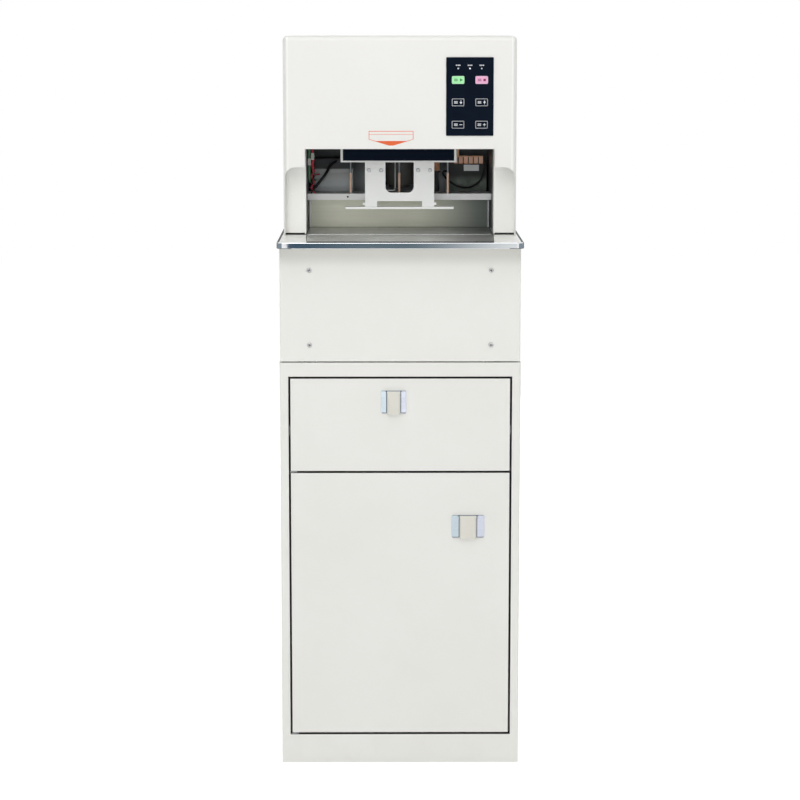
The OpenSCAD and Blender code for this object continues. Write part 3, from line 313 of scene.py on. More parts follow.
# %% Baked coats
def baked_coat(name, colour, shade, gloss=0.42):
    coat = Finish(name)
    cloud = coat.noise(5, 4)
    peel = coat.noise(1100, 1)
    smear = coat.ramp(coat.noise(17, 5, (1, 1, 0.35)), 0.52, 0.8)
    low = 1 - coat.ramp(coat.axis("Z"), 0.0, 0.12)
    grime = low * coat.ramp(coat.noise(40, 4), 0.45, 0.75)
    coat.tint = coat.mix(coat.ramp(cloud, 0.3, 0.75) * 0.5 + grime * 0.35, colour, shade)
    coat.set(Base_Color=coat.tint, Roughness=gloss + 0.1 * smear + 0.12 * grime)
    coat.bump(peel + 0.6 * coat.noise(420, 2), 0.00006)
    return coat


# painted light: the cheek and presser coats are brighter copies of the white paint, for light the hood keeps out
cheek_coat = baked_coat("cheek_coat", (0.90, 0.898, 0.865), (0.87, 0.866, 0.83), 0.38)
wear(cheek_coat, ["cheek_covers"])
presser_coat = baked_coat("presser_coat", (0.90, 0.91, 0.90), (0.86, 0.865, 0.85), 0.4)
wear(presser_coat, ["presser_plate", "presser_foot"])
motor_coat = baked_coat("motor_coat", (0.085, 0.087, 0.080), (0.105, 0.106, 0.098), 0.45)
wear(motor_coat, ["drill_motor", "lift_gearmotor"])

# %% [markdown]
# ### Black edges in the gaps
# Drawer and door close on openings, and the shade in each gap reads as a crisp dark line. The coat paints this shade
# black: behind the front skin by depth, and on the skin by the distance from a panel's edge.

# %% Cabinet coat
cabinet_coat = baked_coat("cabinet_coat", (0.80, 0.80, 0.765), (0.765, 0.762, 0.72))
skin_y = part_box("cabinet_shell")[0].y + 0.0018
gap_shade_depth, opening_top = 0.0154, 0.6625
opening_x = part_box("door_panel")[1].x + 0.0028
# painted shade: gap surfaces behind the front skin and the skin along each panel's edge turn black
gap_painted_shade = cabinet_coat.between(cabinet_coat.axis("Y"), skin_y, skin_y + gap_shade_depth, 0.0002)
gap_painted_shade = gap_painted_shade * (abs(cabinet_coat.axis("X")) < opening_x) * (cabinet_coat.axis("Z") < opening_top)
gap_edge_shades = []
for panel in ("drawer_front", "door_panel"):
    edge = cabinet_coat.edge_distance(*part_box(panel))
    gap_edge_shades.append(cabinet_coat.between(edge, -0.0030, 0.0005, 0.0001) * (cabinet_coat.axis("Y") < skin_y))
gap_shade_mask = cabinet_coat.most(gap_painted_shade, *gap_edge_shades)
cabinet_coat.set(Base_Color=cabinet_coat.mix(gap_shade_mask, cabinet_coat.tint, (0.008, 0.008, 0.008)))
wear(cabinet_coat, ["cabinet_plinth", "cabinet_shell", "cabinet_top", "drawer_deck"])
wear(cabinet_coat, ["drawer_front", "drawer_tray", "door_panel"])

# %% [markdown]
# ### Body, table and hood
# The table hangs over the body, so the top of the cover gets painted shade under it. The slab is painted a brighter
# white than the body, as painted light on its top, and its rear edge gets painted shade. The hood is folded at its
# front
# corners: the fold gets painted shade, with a painted highlight beside it. The rear panel gets painted shade inside,
# and painted light near its foot. Lamps alone gave too little of these tones, so the coats carry them.

# %% Coats of the body and the table
body_coat = baked_coat("body_coat", (0.81, 0.81, 0.775), (0.775, 0.772, 0.73))
cover_low, cover_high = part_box("body_cover")
cover_front = 1 - body_coat.ramp(body_coat.axis("Y"), cover_low.y + 0.003, cover_low.y + 0.006)
# painted shade under the table's overhang, greyest at the top of the cover's front
overhang_painted_shade = cover_front * body_coat.ramp(body_coat.axis("Z"), cover_high.z - 0.036, cover_high.z - 0.010)
body_coat.set(Base_Color=body_coat.mix(overhang_painted_shade, body_coat.tint, (0.645, 0.642, 0.605)))
wear(body_coat, ["body_cover", "body_back"])
# painted light: a brighter white than the body's coat, for light on the slab's top
table_coat = baked_coat("table_coat", (0.93, 0.93, 0.90), (0.90, 0.90, 0.865))
slab_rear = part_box("table_slab")[1].y
# painted shade along the slab's rear edge, under the hood
slab_rear_painted_shade = table_coat.ramp(table_coat.axis("Y"), slab_rear - 0.003, slab_rear - 0.001)
table_coat.set(Base_Color=table_coat.mix(slab_rear_painted_shade, table_coat.tint, (0.72, 0.72, 0.69)))
wear(table_coat, ["table_slab"])

# %% Coats of the hood and its rear panel
hood_white, hood_shade, hood_gloss = (0.83, 0.828, 0.80), (0.80, 0.796, 0.76), 0.38
hood_coat = baked_coat("hood_coat", hood_white, hood_shade, hood_gloss)
hood_low, hood_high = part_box("hood")
from_edge = hood_high.x - abs(hood_coat.axis("X"))
hood_front = 1 - hood_coat.ramp(hood_coat.axis("Y"), hood_low.y + 0.004, hood_low.y + 0.010)
# painted shade on the rounded fold of each front corner, and a painted highlight beside it
fold_painted_shade = hood_front * (1 - hood_coat.ramp(from_edge, 0.0040, 0.0058))
ridge_painted_highlight = hood_front * hood_coat.between(from_edge, 0.0066, 0.0086, 0.0008)
hood_tint = hood_coat.mix(ridge_painted_highlight, hood_coat.tint, (0.90, 0.898, 0.88))
hood_coat.set(Base_Color=hood_coat.mix(fold_painted_shade, hood_tint, (0.70, 0.70, 0.67)))
wear(hood_coat, ["hood"])
rear_coat = baked_coat("rear_coat", hood_white, hood_shade, hood_gloss)
# painted shade inside the rear panel, with painted light towards its foot
rear_inside_painted_shade = rear_coat.axis("Y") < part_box("hood_back")[1].y - 0.0006
rear_foot_painted_light = 1 - rear_coat.ramp(rear_coat.axis("Z"), 0.955, 1.000)
rear_painted_shade = rear_coat.mix(rear_foot_painted_light, (0.10, 0.11, 0.115), (0.44, 0.48, 0.50))
rear_coat.set(Base_Color=rear_coat.mix(rear_inside_painted_shade, rear_coat.tint, rear_painted_shade))
wear(rear_coat, ["hood_back"])

# %% [markdown]
# ### Power supply
# The supply is a grey box, dark along its top. Both are one solid, so the height picks the tone: dark above a line just
# under the top, and below it a grey with painted shade that darkens it upward, towards the hood.

# %% Coat of the supply
supply_foot, supply_brow = (0.64, 0.68, 0.69), (0.44, 0.46, 0.45)
supply_coat = baked_coat("supply_coat", supply_foot, supply_brow, 0.5)
supply_z = supply_coat.axis("Z")
supply_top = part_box("power_supply")[1].z
supply_dark_top = supply_coat.ramp(supply_z, supply_top - 0.0195, supply_top - 0.0165)
# painted shade: the grey darkens upward, towards the hood
supply_painted_shade_rise = supply_coat.ramp(supply_z, 0.950, supply_top - 0.020) + 0.2 * supply_coat.noise(60, 3)
supply_shaded_face = supply_coat.mix(supply_painted_shade_rise, supply_foot, supply_brow)
supply_coat.set(Base_Color=supply_coat.mix(supply_dark_top, supply_shaded_face, (0.045, 0.048, 0.052)))
wear(supply_coat, ["power_supply"])

# %% [markdown]
# ## Bare metal
# Ground rods, milled plates, chromed trim and a worn work plate all start as grey metal. What tells them apart is the
# direction and the depth of their tool marks, so one function takes the stretch of a streak noise: long along X for a
# brushed plate, long along Z for a turned rod.

# %% Metals by their tool marks
def bare_metal(name, colour, shade, gloss, stretch, marks=0.00002):
    metal = Finish(name)
    streak = metal.noise(260, 3, stretch)
    cloud = metal.ramp(metal.noise(14, 4), 0.35, 0.75)
    metal.set(Base_Color=metal.mix(0.6 * cloud + 0.4 * streak, colour, shade), Metallic=1.0)
    metal.set(Roughness=gloss + 0.16 * streak + 0.06 * cloud)
    metal.bump(streak, marks)
    return metal


along_x, along_z = (0.03, 1, 1), (1, 1, 0.04)
polished = 0.000004
ground_steel = bare_metal("ground_steel", (0.60, 0.61, 0.62), (0.48, 0.49, 0.50), 0.2, along_z)
wear(ground_steel, ["guide_rods", "motor_pulley", "lift_pinion", "thread_finger", "door_hinges", "drawer_rails"])
frame_steel = bare_metal("frame_steel", (0.30, 0.315, 0.33), (0.22, 0.235, 0.25), 0.36, along_z)
wear(frame_steel, ["head_frame", "roof_plate", "lower_frame", "body_base", "carriage", "presser_block"])

# %% [markdown]
# ### Latches
# Each latch is a chromed plate with a beige paddle in it. The plate gets a painted dark reflection beside the paddle,
# along its foot and a little along its brow, and a painted bluish sheen that changes across the rest.

# %% Chrome of the latches
def latch_metal(name, plate, paddle):
    (low, high), (near, far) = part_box(plate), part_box(paddle)
    left_painted_sheen, right_painted_sheen = (0.56, 0.64, 0.70), (0.63, 0.66, 0.76)
    metal = bare_metal(name, left_painted_sheen, right_painted_sheen, 0.1, along_x, polished)
    middle, half = (near.x + far.x) / 2, (far.x - near.x) / 2
    # painted dark reflection beside the paddle, along the foot and the brow; painted sheen across the plate
    beside = metal.between(abs(metal.axis("X") - middle), half - 0.001, half + 0.0016, 0.0003)
    foot = 1 - metal.ramp(metal.axis("Z"), low.z + 0.0008, low.z + 0.0016)
    brow = metal.ramp(metal.axis("Z"), high.z - 0.0014, high.z - 0.0006)
    dark = metal.most(0.85 * metal.most(beside, foot), 0.5 * brow)
    across = metal.ramp(metal.axis("X"), middle - half, middle + half)
    latch_painted_sheen = metal.mix(across, left_painted_sheen, right_painted_sheen)
    metal.set(Base_Color=metal.mix(dark, latch_painted_sheen, (0.06, 0.085, 0.11)))
    wear(metal, [plate])
    return metal


drawer_latch_chrome = latch_metal("drawer_latch_chrome", "drawer_latch_plate", "drawer_paddle")
door_latch_chrome = latch_metal("door_latch_chrome", "door_latch_plate", "door_paddle")

# %% [markdown]
# ### Chrome trim
# The trim is one polished bar, bent round the front of the table. The upper edge of its side arms, the ends of its
# front and the foot of its corners mirror dark surroundings and look almost black. A card for such narrow strips would
# have to stand right to the millimetre, so the finish takes the metal away there and paints the dark reflection, dull.

# %% Chrome of the trim
trim_bright, trim_grey = (0.84, 0.86, 0.88), (0.78, 0.80, 0.82)
trim_chrome = bare_metal("trim_chrome", trim_bright, trim_grey, 0.05, along_x, polished)
trim_low, trim_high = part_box("table_trim")
trim_x, trim_y, trim_z = abs(trim_chrome.axis("X")), trim_chrome.axis("Y"), trim_chrome.axis("Z")
# painted reflection: these strips are painted dark and dull in place of mirroring a card
trim_arm = trim_chrome.ramp(trim_y, trim_low.y + 0.011, trim_low.y + 0.015)
trim_upper = trim_arm * (trim_z > trim_high.z - 0.0012)
trim_end = (1 - trim_arm) * trim_chrome.ramp(trim_x, trim_high.x - 0.0028, trim_high.x - 0.0010)
trim_foot = (1 - trim_chrome.ramp(trim_z, trim_low.z + 0.0006, trim_low.z + 0.0014)) * (trim_x > trim_high.x - 0.024)
trim_painted_reflection = trim_chrome.most(trim_upper, trim_end, trim_foot)
trim_grain = trim_chrome.noise(200, 2, along_x)
trim_tint = trim_chrome.mix(trim_grain, trim_bright, trim_grey)
trim_chrome.set(Base_Color=trim_chrome.mix(trim_painted_reflection, trim_tint, (0.05, 0.055, 0.062)), Metallic=1 - trim_painted_reflection)
trim_chrome.set(Roughness=0.015 + 0.015 * trim_grain + 0.6 * trim_painted_reflection)
wear(trim_chrome, ["table_trim"])

# %% [markdown]
# ### Beam, fence and screws
# The guide beam is milled aluminium with one small hole, which is too small to be worth a cut, so its shade is painted
# as a black disc. The fence is duller steel with a painted reflection that darkens it towards the right, so two tints
# are mixed along X. Screws are plain steel, with painted shade at the bottom of the recess, close to the panel.

# %% Metal of the beam
beam_bright, beam_grey = (1.0, 1.0, 0.99), (0.93, 0.94, 0.93)
milled_aluminium = bare_metal("milled_aluminium", beam_bright, beam_grey, 0.26, along_x)
beam_low, beam_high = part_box("guide_beam")
hole_x, hole_z, hole_radius = -0.090, (beam_low.z + beam_high.z) / 2, 0.0016
from_x = milled_aluminium.axis("X") - hole_x
from_z = milled_aluminium.axis("Z") - hole_z
# painted shade of the small hole
hole_painted_shade = (from_x * from_x + from_z * from_z) < hole_radius ** 2
beam_tint = milled_aluminium.mix(milled_aluminium.noise(90, 3, along_x), beam_bright, beam_grey)
milled_aluminium.set(Base_Color=milled_aluminium.mix(hole_painted_shade, beam_tint, (0.01, 0.01, 0.01)), Metallic=0.05)
wear(milled_aluminium, ["guide_beam"])

# %% Metal of the fence
fence_bright, fence_grey = (0.72, 0.73, 0.61), (0.62, 0.63, 0.525)
fence_steel = bare_metal("fence_steel", fence_bright, fence_grey, 0.34, along_x)
# painted reflection: the fence darkens towards the right
fence_painted_fade = fence_steel.ramp(fence_steel.axis("X"), 0.02, 0.157)
fence_grain = fence_steel.noise(200, 3, along_x)
fence_left = fence_steel.mix(fence_grain, fence_bright, fence_grey)
fence_reflected_dark = fence_steel.mix(fence_grain, (0.17, 0.19, 0.175), (0.13, 0.145, 0.135))
fence_steel.set(Base_Color=fence_steel.mix(fence_painted_fade, fence_left, fence_reflected_dark), Metallic=0.5)
wear(fence_steel, ["paper_fence"])

# %% Metal of the screws
screw_bright, screw_grey = (0.70, 0.70, 0.70), (0.55, 0.55, 0.55)
screw_steel = bare_metal("screw_steel", screw_bright, screw_grey, 0.2, (1, 1, 1))
panel_front, panel_back = cover_low.y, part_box("body_back")[1].y
from_front = abs(screw_steel.axis("Y") - panel_front)
from_back = abs(screw_steel.axis("Y") - panel_back)
from_panel = from_front.math("MINIMUM", from_front, from_back)
# painted shade at the bottom of the recess and round the foot of each head
recess_painted_shade = 1 - screw_steel.ramp(from_panel, 0.0009, 0.0013)
screw_tint = screw_steel.mix(screw_steel.noise(300, 2), screw_bright, screw_grey)
screw_steel.set(Base_Color=screw_steel.mix(recess_painted_shade, screw_tint, (0.03, 0.03, 0.03)))
wear(screw_steel, ["cover_screws"])

# %% [markdown]
# ## The work plate
# Paper slides over this steel plate all day, so it is brushed from side to side and bright where the stacks rub. A
# painted reflection darkens it towards the right, it has painted shade in front of the fence, and a dark line of
# painted shade runs along its front and its sides, which lean in towards the front. Such a line has no thickness to
# model, so the finish draws it by the distance from an edge. The strip across the plate and the bead in front of it
# stand up, and are pieces further down.

# %% Work plate finish
plate_dull, plate_rubbed = (0.66, 0.67, 0.64), (0.76, 0.77, 0.74)
work_steel = bare_metal("work_steel", plate_dull, plate_rubbed, 0.3, along_x)
plate_low, plate_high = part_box("work_plate")
plate_x, plate_y = work_steel.axis("X"), work_steel.axis("Y")
lean_start, lean_in, line_width = -0.083, 0.0060, 0.0012
lean_part = {"Value": plate_y, "From Min": lean_start, "From Max": plate_low.y}
leaning = lean_in * work_steel.node("ShaderNodeMapRange", {}, lean_part)
# painted shade: dark lines along the front and the leaning sides, and shade at the fence
side_painted_shade = (plate_high.x - leaning - abs(plate_x)) < line_width
front_painted_shade = 1 - work_steel.ramp(plate_y, plate_low.y + 0.0030, plate_low.y + 0.0050)
fence_shade = work_steel.ramp(plate_y, 0.060, 0.085)
plate_painted_shade_mask = work_steel.most(front_painted_shade, side_painted_shade, fence_shade)
rubbed = work_steel.ramp(work_steel.noise(9, 3), 0.4, 0.7)
plate_tint = work_steel.mix(rubbed, plate_dull, plate_rubbed)
# painted reflection: the plate darkens towards the right
plate_painted_fade = work_steel.ramp(plate_x, 0.055, 0.160)
plate_with_painted_fade = work_steel.mix(plate_painted_fade * 0.8, plate_tint, (0.12, 0.13, 0.128))
work_steel.set(Base_Color=work_steel.mix(plate_painted_shade_mask * 0.9, plate_with_painted_fade, (0.02, 0.022, 0.02)), Metallic=0.65)
wear(work_steel, ["work_plate"])

# %% [markdown]
# ## Spindles and drills
# Each spindle is one solid: a pulley, a shaft in the carriage, a chuck and a hollow drill. The drills look copper-pink
# in the photograph, and the shank above is bare. The solid keeps its own coordinates when it moves, so the height along
# it picks the finish.

# %% Spindle finish
shank_bright, shank_grey = (0.52, 0.53, 0.54), (0.36, 0.37, 0.38)
spindle_steel = bare_metal("spindle_steel", shank_bright, shank_grey, 0.24, along_z)
drill_tip, drill_top = 0.9375, 0.9830
drill_part = spindle_steel.between(spindle_steel.axis("Z"), drill_tip, drill_top, 0.0006)
spiral = spindle_steel.ramp(spindle_steel.noise(700, 2, (1, 1, 0.2)), 0.4, 0.6)
copper = spindle_steel.mix(spiral, (0.95, 0.60, 0.45), (1.0, 0.74, 0.60))
shank = spindle_steel.mix(spindle_steel.noise(300, 2, along_z), shank_bright, shank_grey)
spindle_steel.set(Base_Color=spindle_steel.mix(drill_part, shank, copper), Metallic=1 - 0.85 * drill_part)
wear(spindle_steel, ["spindle_left", "spindle_middle", "spindle_right"])

# %% [markdown]
# ## Plastics, rubber and thread
# Moulded plastic has a fine spark-eroded grain and soft highlights; rubber is the same with more grain and no shine.
# One function covers them, with the size of the grain and the roughness as its values.

# %% Moulded pieces
def moulded(name, colour, shade, gloss, grain=900, depth=0.00003):
    plastic = Finish(name)
    cloud = plastic.ramp(plastic.noise(30, 4), 0.35, 0.75)
    skin = plastic.noise(grain, 2)
    plastic.set(Base_Color=plastic.mix(cloud, colour, shade), Roughness=gloss + 0.1 * skin)
    plastic.bump(skin, depth)
    return plastic


paddle_plastic = moulded("paddle_plastic", (0.70, 0.685, 0.62), (0.665, 0.65, 0.585), 0.34)
wear(paddle_plastic, ["drawer_paddle", "door_paddle"])
black_plastic = moulded("black_plastic", (0.012, 0.013, 0.014), (0.02, 0.021, 0.022), 0.42)
wear(black_plastic, ["door_catch", "power_inlet"])
black_rubber_and_gap_shade = moulded("black_rubber_and_gap_shade", (0.010, 0.010, 0.011), (0.018, 0.018, 0.018), 0.7, 500, 0.00008)
wear(black_rubber_and_gap_shade, ["body_feet", "drill_belt"])
red_plastic = moulded("red_plastic", (0.42, 0.020, 0.015), (0.36, 0.016, 0.012), 0.22)
wear(red_plastic, ["power_switch"])

# %% [markdown]
# ### Control box and wires
# The black box at the right has a row of pale red clamps along its top, and its lower half is paler as painted light.
# The wiring is one solid, but a loom has wires of several colours. The height picks the clamps, and the place along the
# loom picks green, red or black, because each wire keeps to a space of its own.

# %% Control box with its pale red clamps
box_dark, box_lit_tone = (0.022, 0.025, 0.023), (0.24, 0.29, 0.25)
box_plastic = moulded("box_plastic", box_dark, box_lit_tone, 0.45)
box_low, box_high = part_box("control_box")
box_z = box_plastic.axis("Z")
clamps = box_plastic.ramp(box_z, box_high.z - 0.0122, box_high.z - 0.0118)
clamp_tint = box_plastic.mix(box_plastic.noise(90, 3), (0.95, 0.50, 0.33), (1.0, 0.72, 0.56))
# painted light: the lower half of the box is paler, in patches
box_painted_light = 1 - box_plastic.ramp(box_z, box_high.z - 0.045, box_high.z - 0.030)
box_tint = box_plastic.mix(box_painted_light * box_plastic.noise(60, 3), box_dark, box_lit_tone)
box_plastic.set(Base_Color=box_plastic.mix(clamps, box_tint, clamp_tint))
wear(box_plastic, ["control_box"])

# %% Insulation of the wires
wire_black, wire_red, wire_green = (0.012, 0.012, 0.013), (0.70, 0.06, 0.09), (0.10, 0.40, 0.17)
insulation = moulded("insulation", wire_black, wire_black, 0.35)
wire_x, wire_y, wire_z = (insulation.axis(letter) for letter in "XYZ")
by_plate = (wire_x < -0.1535) * (wire_z > 0.958)
low_run = (wire_x < -0.1455) * (wire_y > 0.128) * (wire_z < 0.9705) * (wire_z > 0.96)
black_run = (wire_y > 0.107) * (wire_z < 0.9735)
red_part = (wire_x < -0.139) * (wire_z > 0.9715) * (wire_y > 0.024) * (1 - black_run)
red_or_black = insulation.mix(red_part, wire_black, wire_red)
insulation.set(Base_Color=insulation.mix(by_plate + low_run, red_or_black, wire_green))
wear(insulation, ["wiring"])

# %% [markdown]
# ### Thread cone
# The cone in the lower body is wound cotton on a paper tube. Nobody sees it with the covers on, but with the rear panel
# off it would show its windings, so rings of fine bumps cross it, a little uneven as wound thread is.

# %% Wound thread
wound = Finish("wound_thread")
winding = {"Vector": wound.place(), "Scale": 300.0, "Distortion": 1.5}
turns = wound.node("ShaderNodeTexWave", {"bands_direction": "Z"}, winding, "Fac")
wound.set(Base_Color=wound.mix(turns, (0.72, 0.70, 0.62), (0.84, 0.82, 0.76)), Roughness=0.85)
wound.bump(turns, 0.0003)
wear(wound, ["thread_cone"])

# %% [markdown]
# ## Printed film
# The keypad and the sign are navy film, printed on the back and lightly frosted on the front. Six keys are cut out of
# it: a green one, a pink one and four navy ones with a fine white outline. An outline could be a mesh, but it is ink
# and has no thickness, so the finish draws it by the distance from the edge of the key.

# %% Film and its ink
def film(name, colour, shade, gloss=0.4):
    sheet = Finish(name)
    frost = sheet.noise(2200, 1)
    cloud = sheet.ramp(sheet.noise(22, 3), 0.3, 0.8)
    sheet.set(Base_Color=sheet.mix(cloud, colour, shade), Roughness=gloss + 0.12 * frost)
    sheet.bump(frost, 0.00001)
    sheet.shine(0.02)
    return sheet


def outlined_key(node, colour, ink):
    sheet = film(node + "_film", colour, colour)
    line = sheet.between(sheet.edge_distance(*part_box(node)), 0.0004, 0.0009, 0.0001)
    sheet.set(Base_Color=sheet.mix(line, colour, ink))
    wear(sheet, [node])


navy = (0.0045, 0.0080, 0.0165)
white_ink = (0.80, 0.82, 0.84)
wear(film("navy_film", navy, (0.006, 0.0105, 0.020)), ["keypad_panel"])
for name in ("key_press", "key_lift", "key_less", "key_more"):
    outlined_key(name, navy, white_ink)
outlined_key("key_start", (0.40, 0.86, 0.44), (0.56, 0.92, 0.60))
outlined_key("key_stop", (0.84, 0.45, 0.65), (0.92, 0.62, 0.77))

# %% Sign plate with its white frame
sign = film("sign_film", navy, navy)
sign_low, sign_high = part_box("sign_plate")
sign_side = (sign_high.x - sign_low.x) / 2 - abs(sign.axis("X") - (sign_low.x + sign_high.x) / 2)
sign_foot = sign.axis("Z") - sign_low.z
frame_line = sign.most(sign_side < 0.0038, sign_foot < 0.0026)
sign.set(Base_Color=sign.mix(frame_line, navy, (0.74, 0.75, 0.74)))
wear(sign, ["sign_plate"])

# %% Lamp lenses, of which the middle one glows
lens = moulded("lamp_lens", (0.55, 0.60, 0.66), (0.62, 0.66, 0.70), 0.12)
lamp_low, lamp_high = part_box("indicator_lamps")
lamp_middle = (lamp_low.x + lamp_high.x) / 2
glow = abs(lens.axis("X") - lamp_middle) < 0.004
lens.set(Emission_Color=lens.mix(glow, (0.05, 0.055, 0.06), (0.9, 0.93, 1.0)), Emission_Strength=0.7)
wear(lens, ["indicator_lamps"])

# %% [markdown]
# ## Working by hand, in code
# Every added piece follows the same steps as at the screen: nothing selected, a primitive at its size and place, edit
# mode to shape it, a modifier to finish it, and its place applied so that the object itself stays at the origin. The
# helpers below are those steps. Edges are never perfectly sharp on a real machine, so a small bevel ends each piece.

# %% Helpers for any piece
def finish_piece(piece, name, finish, body):
    piece.name = name
    piece.data.materials.clear()
    piece.data.materials.append(finish.material)
    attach(piece, body)
    print(name, "on", body, "faces:", len(piece.data.polygons))
    return piece


def only(piece):
    deselect()
    piece.select_set(True)
    bpy.context.view_layer.objects.active = piece


def settle(piece):
    only(piece)
    bpy.ops.object.transform_apply(location=True, rotation=True, scale=True)


def apply_modifier(piece, kind, **settings):
    only(piece)
    made = piece.modifiers.new(kind.lower(), kind)
    for key, value in settings.items():
        setattr(made, key, value)
    bpy.ops.object.modifier_apply(modifier=made.name)


# %% Helpers to pick vertices, make a block and join pieces
def pick(piece, wanted):
    only(piece)
    bpy.ops.object.mode_set(mode="EDIT")
    bpy.ops.mesh.select_mode(type="VERT")
    bpy.ops.mesh.select_all(action="DESELECT")
    bpy.ops.object.mode_set(mode="OBJECT")
    for vertex in piece.data.vertices:
        vertex.select = wanted(vertex.co)
    bpy.ops.object.mode_set(mode="EDIT")


def cube(low, high):
    low, high = Vector(low), Vector(high)
    deselect()
    bpy.ops.mesh.primitive_cube_add(size=1, location=(low + high) / 2)
    piece = bpy.context.object
    piece.scale = high - low
    settle(piece)
    return piece


def block(low, high, edge, steps=3):
    piece = cube(low, high)
    apply_modifier(piece, "BEVEL", width=edge, segments=steps, limit_method="ANGLE")
    return piece


def joined(pieces):
    deselect()
    for piece in pieces:
        piece.select_set(True)
    bpy.context.view_layer.objects.active = pieces[0]
    bpy.ops.object.join()
    return bpy.context.object


# %% [markdown]
# ## Softened edges on the bright parts
# Chrome shows its shape only by the highlight along its edges, and the solids have sharp ones. Changing a solid's own
# mesh would break its place in the frame, so a copy of it is merged, its flat faces are joined, its edges are bevelled,
# and the copy stands for the solid.

# %% Bevelled copies of solids
def edit_merged(piece):
    only(piece)
    bpy.ops.object.mode_set(mode="EDIT")
    bpy.ops.mesh.select_all(action="SELECT")
    bpy.ops.mesh.remove_doubles(threshold=0.000005)


def softened(node, edge, finish, body, steps=3):
    piece = bpy.data.objects.new(node + "_soft", node_of[node].data.copy())
    scene.collection.objects.link(piece)
    edit_merged(piece)
    bpy.ops.mesh.dissolve_limited(angle_limit=math.radians(1))
    bpy.ops.object.mode_set(mode="OBJECT")
    sharp = math.radians(35)
    apply_modifier(piece, "BEVEL", width=edge, segments=steps, limit_method="ANGLE", angle_limit=sharp)
    bpy.ops.object.shade_smooth_by_angle(angle=math.radians(32))
    apply_modifier(piece, "WEIGHTED_NORMAL", keep_sharp=True, weight=100)
    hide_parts(node)
    return finish_piece(piece, node + "_soft", finish, body)


softened("table_trim", 0.0010, trim_chrome, "machine", 4)
softened("drawer_latch_plate", 0.0006, drawer_latch_chrome, "drawer")
softened("door_latch_plate", 0.0006, door_latch_chrome, "door")
softened("drawer_paddle", 0.0007, paddle_plastic, "drawer_paddle")
softened("door_paddle", 0.0007, paddle_plastic, "door_paddle")
softened("guide_beam", 0.0005, milled_aluminium, "machine")
softened("presser_plate", 0.0004, presser_coat, "presser")
softened("presser_foot", 0.0005, presser_coat, "presser")

# %% [markdown]
# ## Screws
# Pan-head screws with a cross recess hold the covers and the presser. A head starts as a cylinder: its upper rim is
# bevelled into a dome, and a cross made of two bars cuts the recess. One head is modelled and copied, each copy with
# its own mesh and its own turn. The four heads of the body cover stand for the plain screw solids.

# %% One head and its copies
def screw_head(width, rise):
    deselect()
    bpy.ops.mesh.primitive_cylinder_add(vertices=32, radius=width / 2, depth=rise, location=(0, 0, rise / 2))
    head = bpy.context.object
    pick(head, lambda place: place.z > 0)
    bpy.ops.mesh.bevel(offset=rise * 0.72, offset_type="OFFSET", segments=5, profile=0.5)
    bpy.ops.object.mode_set(mode="OBJECT")
    settle(head)
    for turn in (0, math.pi / 2):
        deselect()
        bpy.ops.mesh.primitive_cube_add(size=1, location=(0, 0, rise))
        cutter = bpy.context.object
        cutter.scale = (width * 0.56, width * 0.13, rise * 1.2)
        cutter.rotation_euler.z = turn
        settle(cutter)
        apply_modifier(head, "BOOLEAN", operation="DIFFERENCE", object=cutter, solver="EXACT")
        only(cutter)
        bpy.ops.object.delete()
    only(head)
    bpy.ops.object.shade_smooth_by_angle(angle=math.radians(30))
    return head


def heads_at(model, places, tilt):
    first_turn, next_turn = 0.5, 1.3
    copies = []
    for number, place in enumerate(places):
        copy = model.copy()
        copy.data = model.data.copy()
        scene.collection.objects.link(copy)
        copy.location = place
        copy.rotation_euler = (tilt, first_turn + next_turn * number, 0)
        settle(copy)
        copies.append(copy)
    only(model)
    bpy.ops.object.delete()
    return joined(copies)


# %% Heads on the cover, the presser and the rear
facing_front, facing_back = math.pi / 2, -math.pi / 2
screw_low, screw_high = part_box("cover_screws")
half_head = 0.004
cover_x = (screw_low.x + half_head, screw_high.x - half_head)
cover_z = (screw_low.z + half_head, screw_high.z - half_head)
cover_places = [(x, panel_front, z) for x in cover_x for z in cover_z]
cover_heads = heads_at(screw_head(2 * half_head, 0.0022), cover_places, facing_front)
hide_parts("cover_screws")
finish_piece(cover_heads, "cover_screw_heads", screw_steel, "machine")
presser_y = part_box("presser_plate")[0].y
presser_places = [(x, presser_y, 0.993) for x in (-0.052, -0.0315, 0.0315, 0.052)]
presser_heads = heads_at(screw_head(0.0072, 0.0018), presser_places, facing_front)
finish_piece(presser_heads, "presser_screw_heads", ground_steel, "presser")
rear_places = [(x, panel_back, z) for x in (-0.186, 0.186) for z in (0.703, 0.862, 0.902, 1.196)]
rear_heads = heads_at(screw_head(0.0075, 0.0020), rear_places, facing_back)
finish_piece(rear_heads, "rear_screw_heads", screw_steel, "machine")

# %% [markdown]
# ## Strips on the table
# A black block in the gap under each cheek is painted shade for that gap, and the steel fence has its ends folded
# forward, which catch the light beside the throat. A polished strip crosses the work plate where two sheets meet, and a
# black bead between the plate and the chrome trim is painted shade for the gap there. Drawn on the flat table, they
# would vanish at the camera's low angle, so each is a block with a bevel that is as large as its thin side allows.

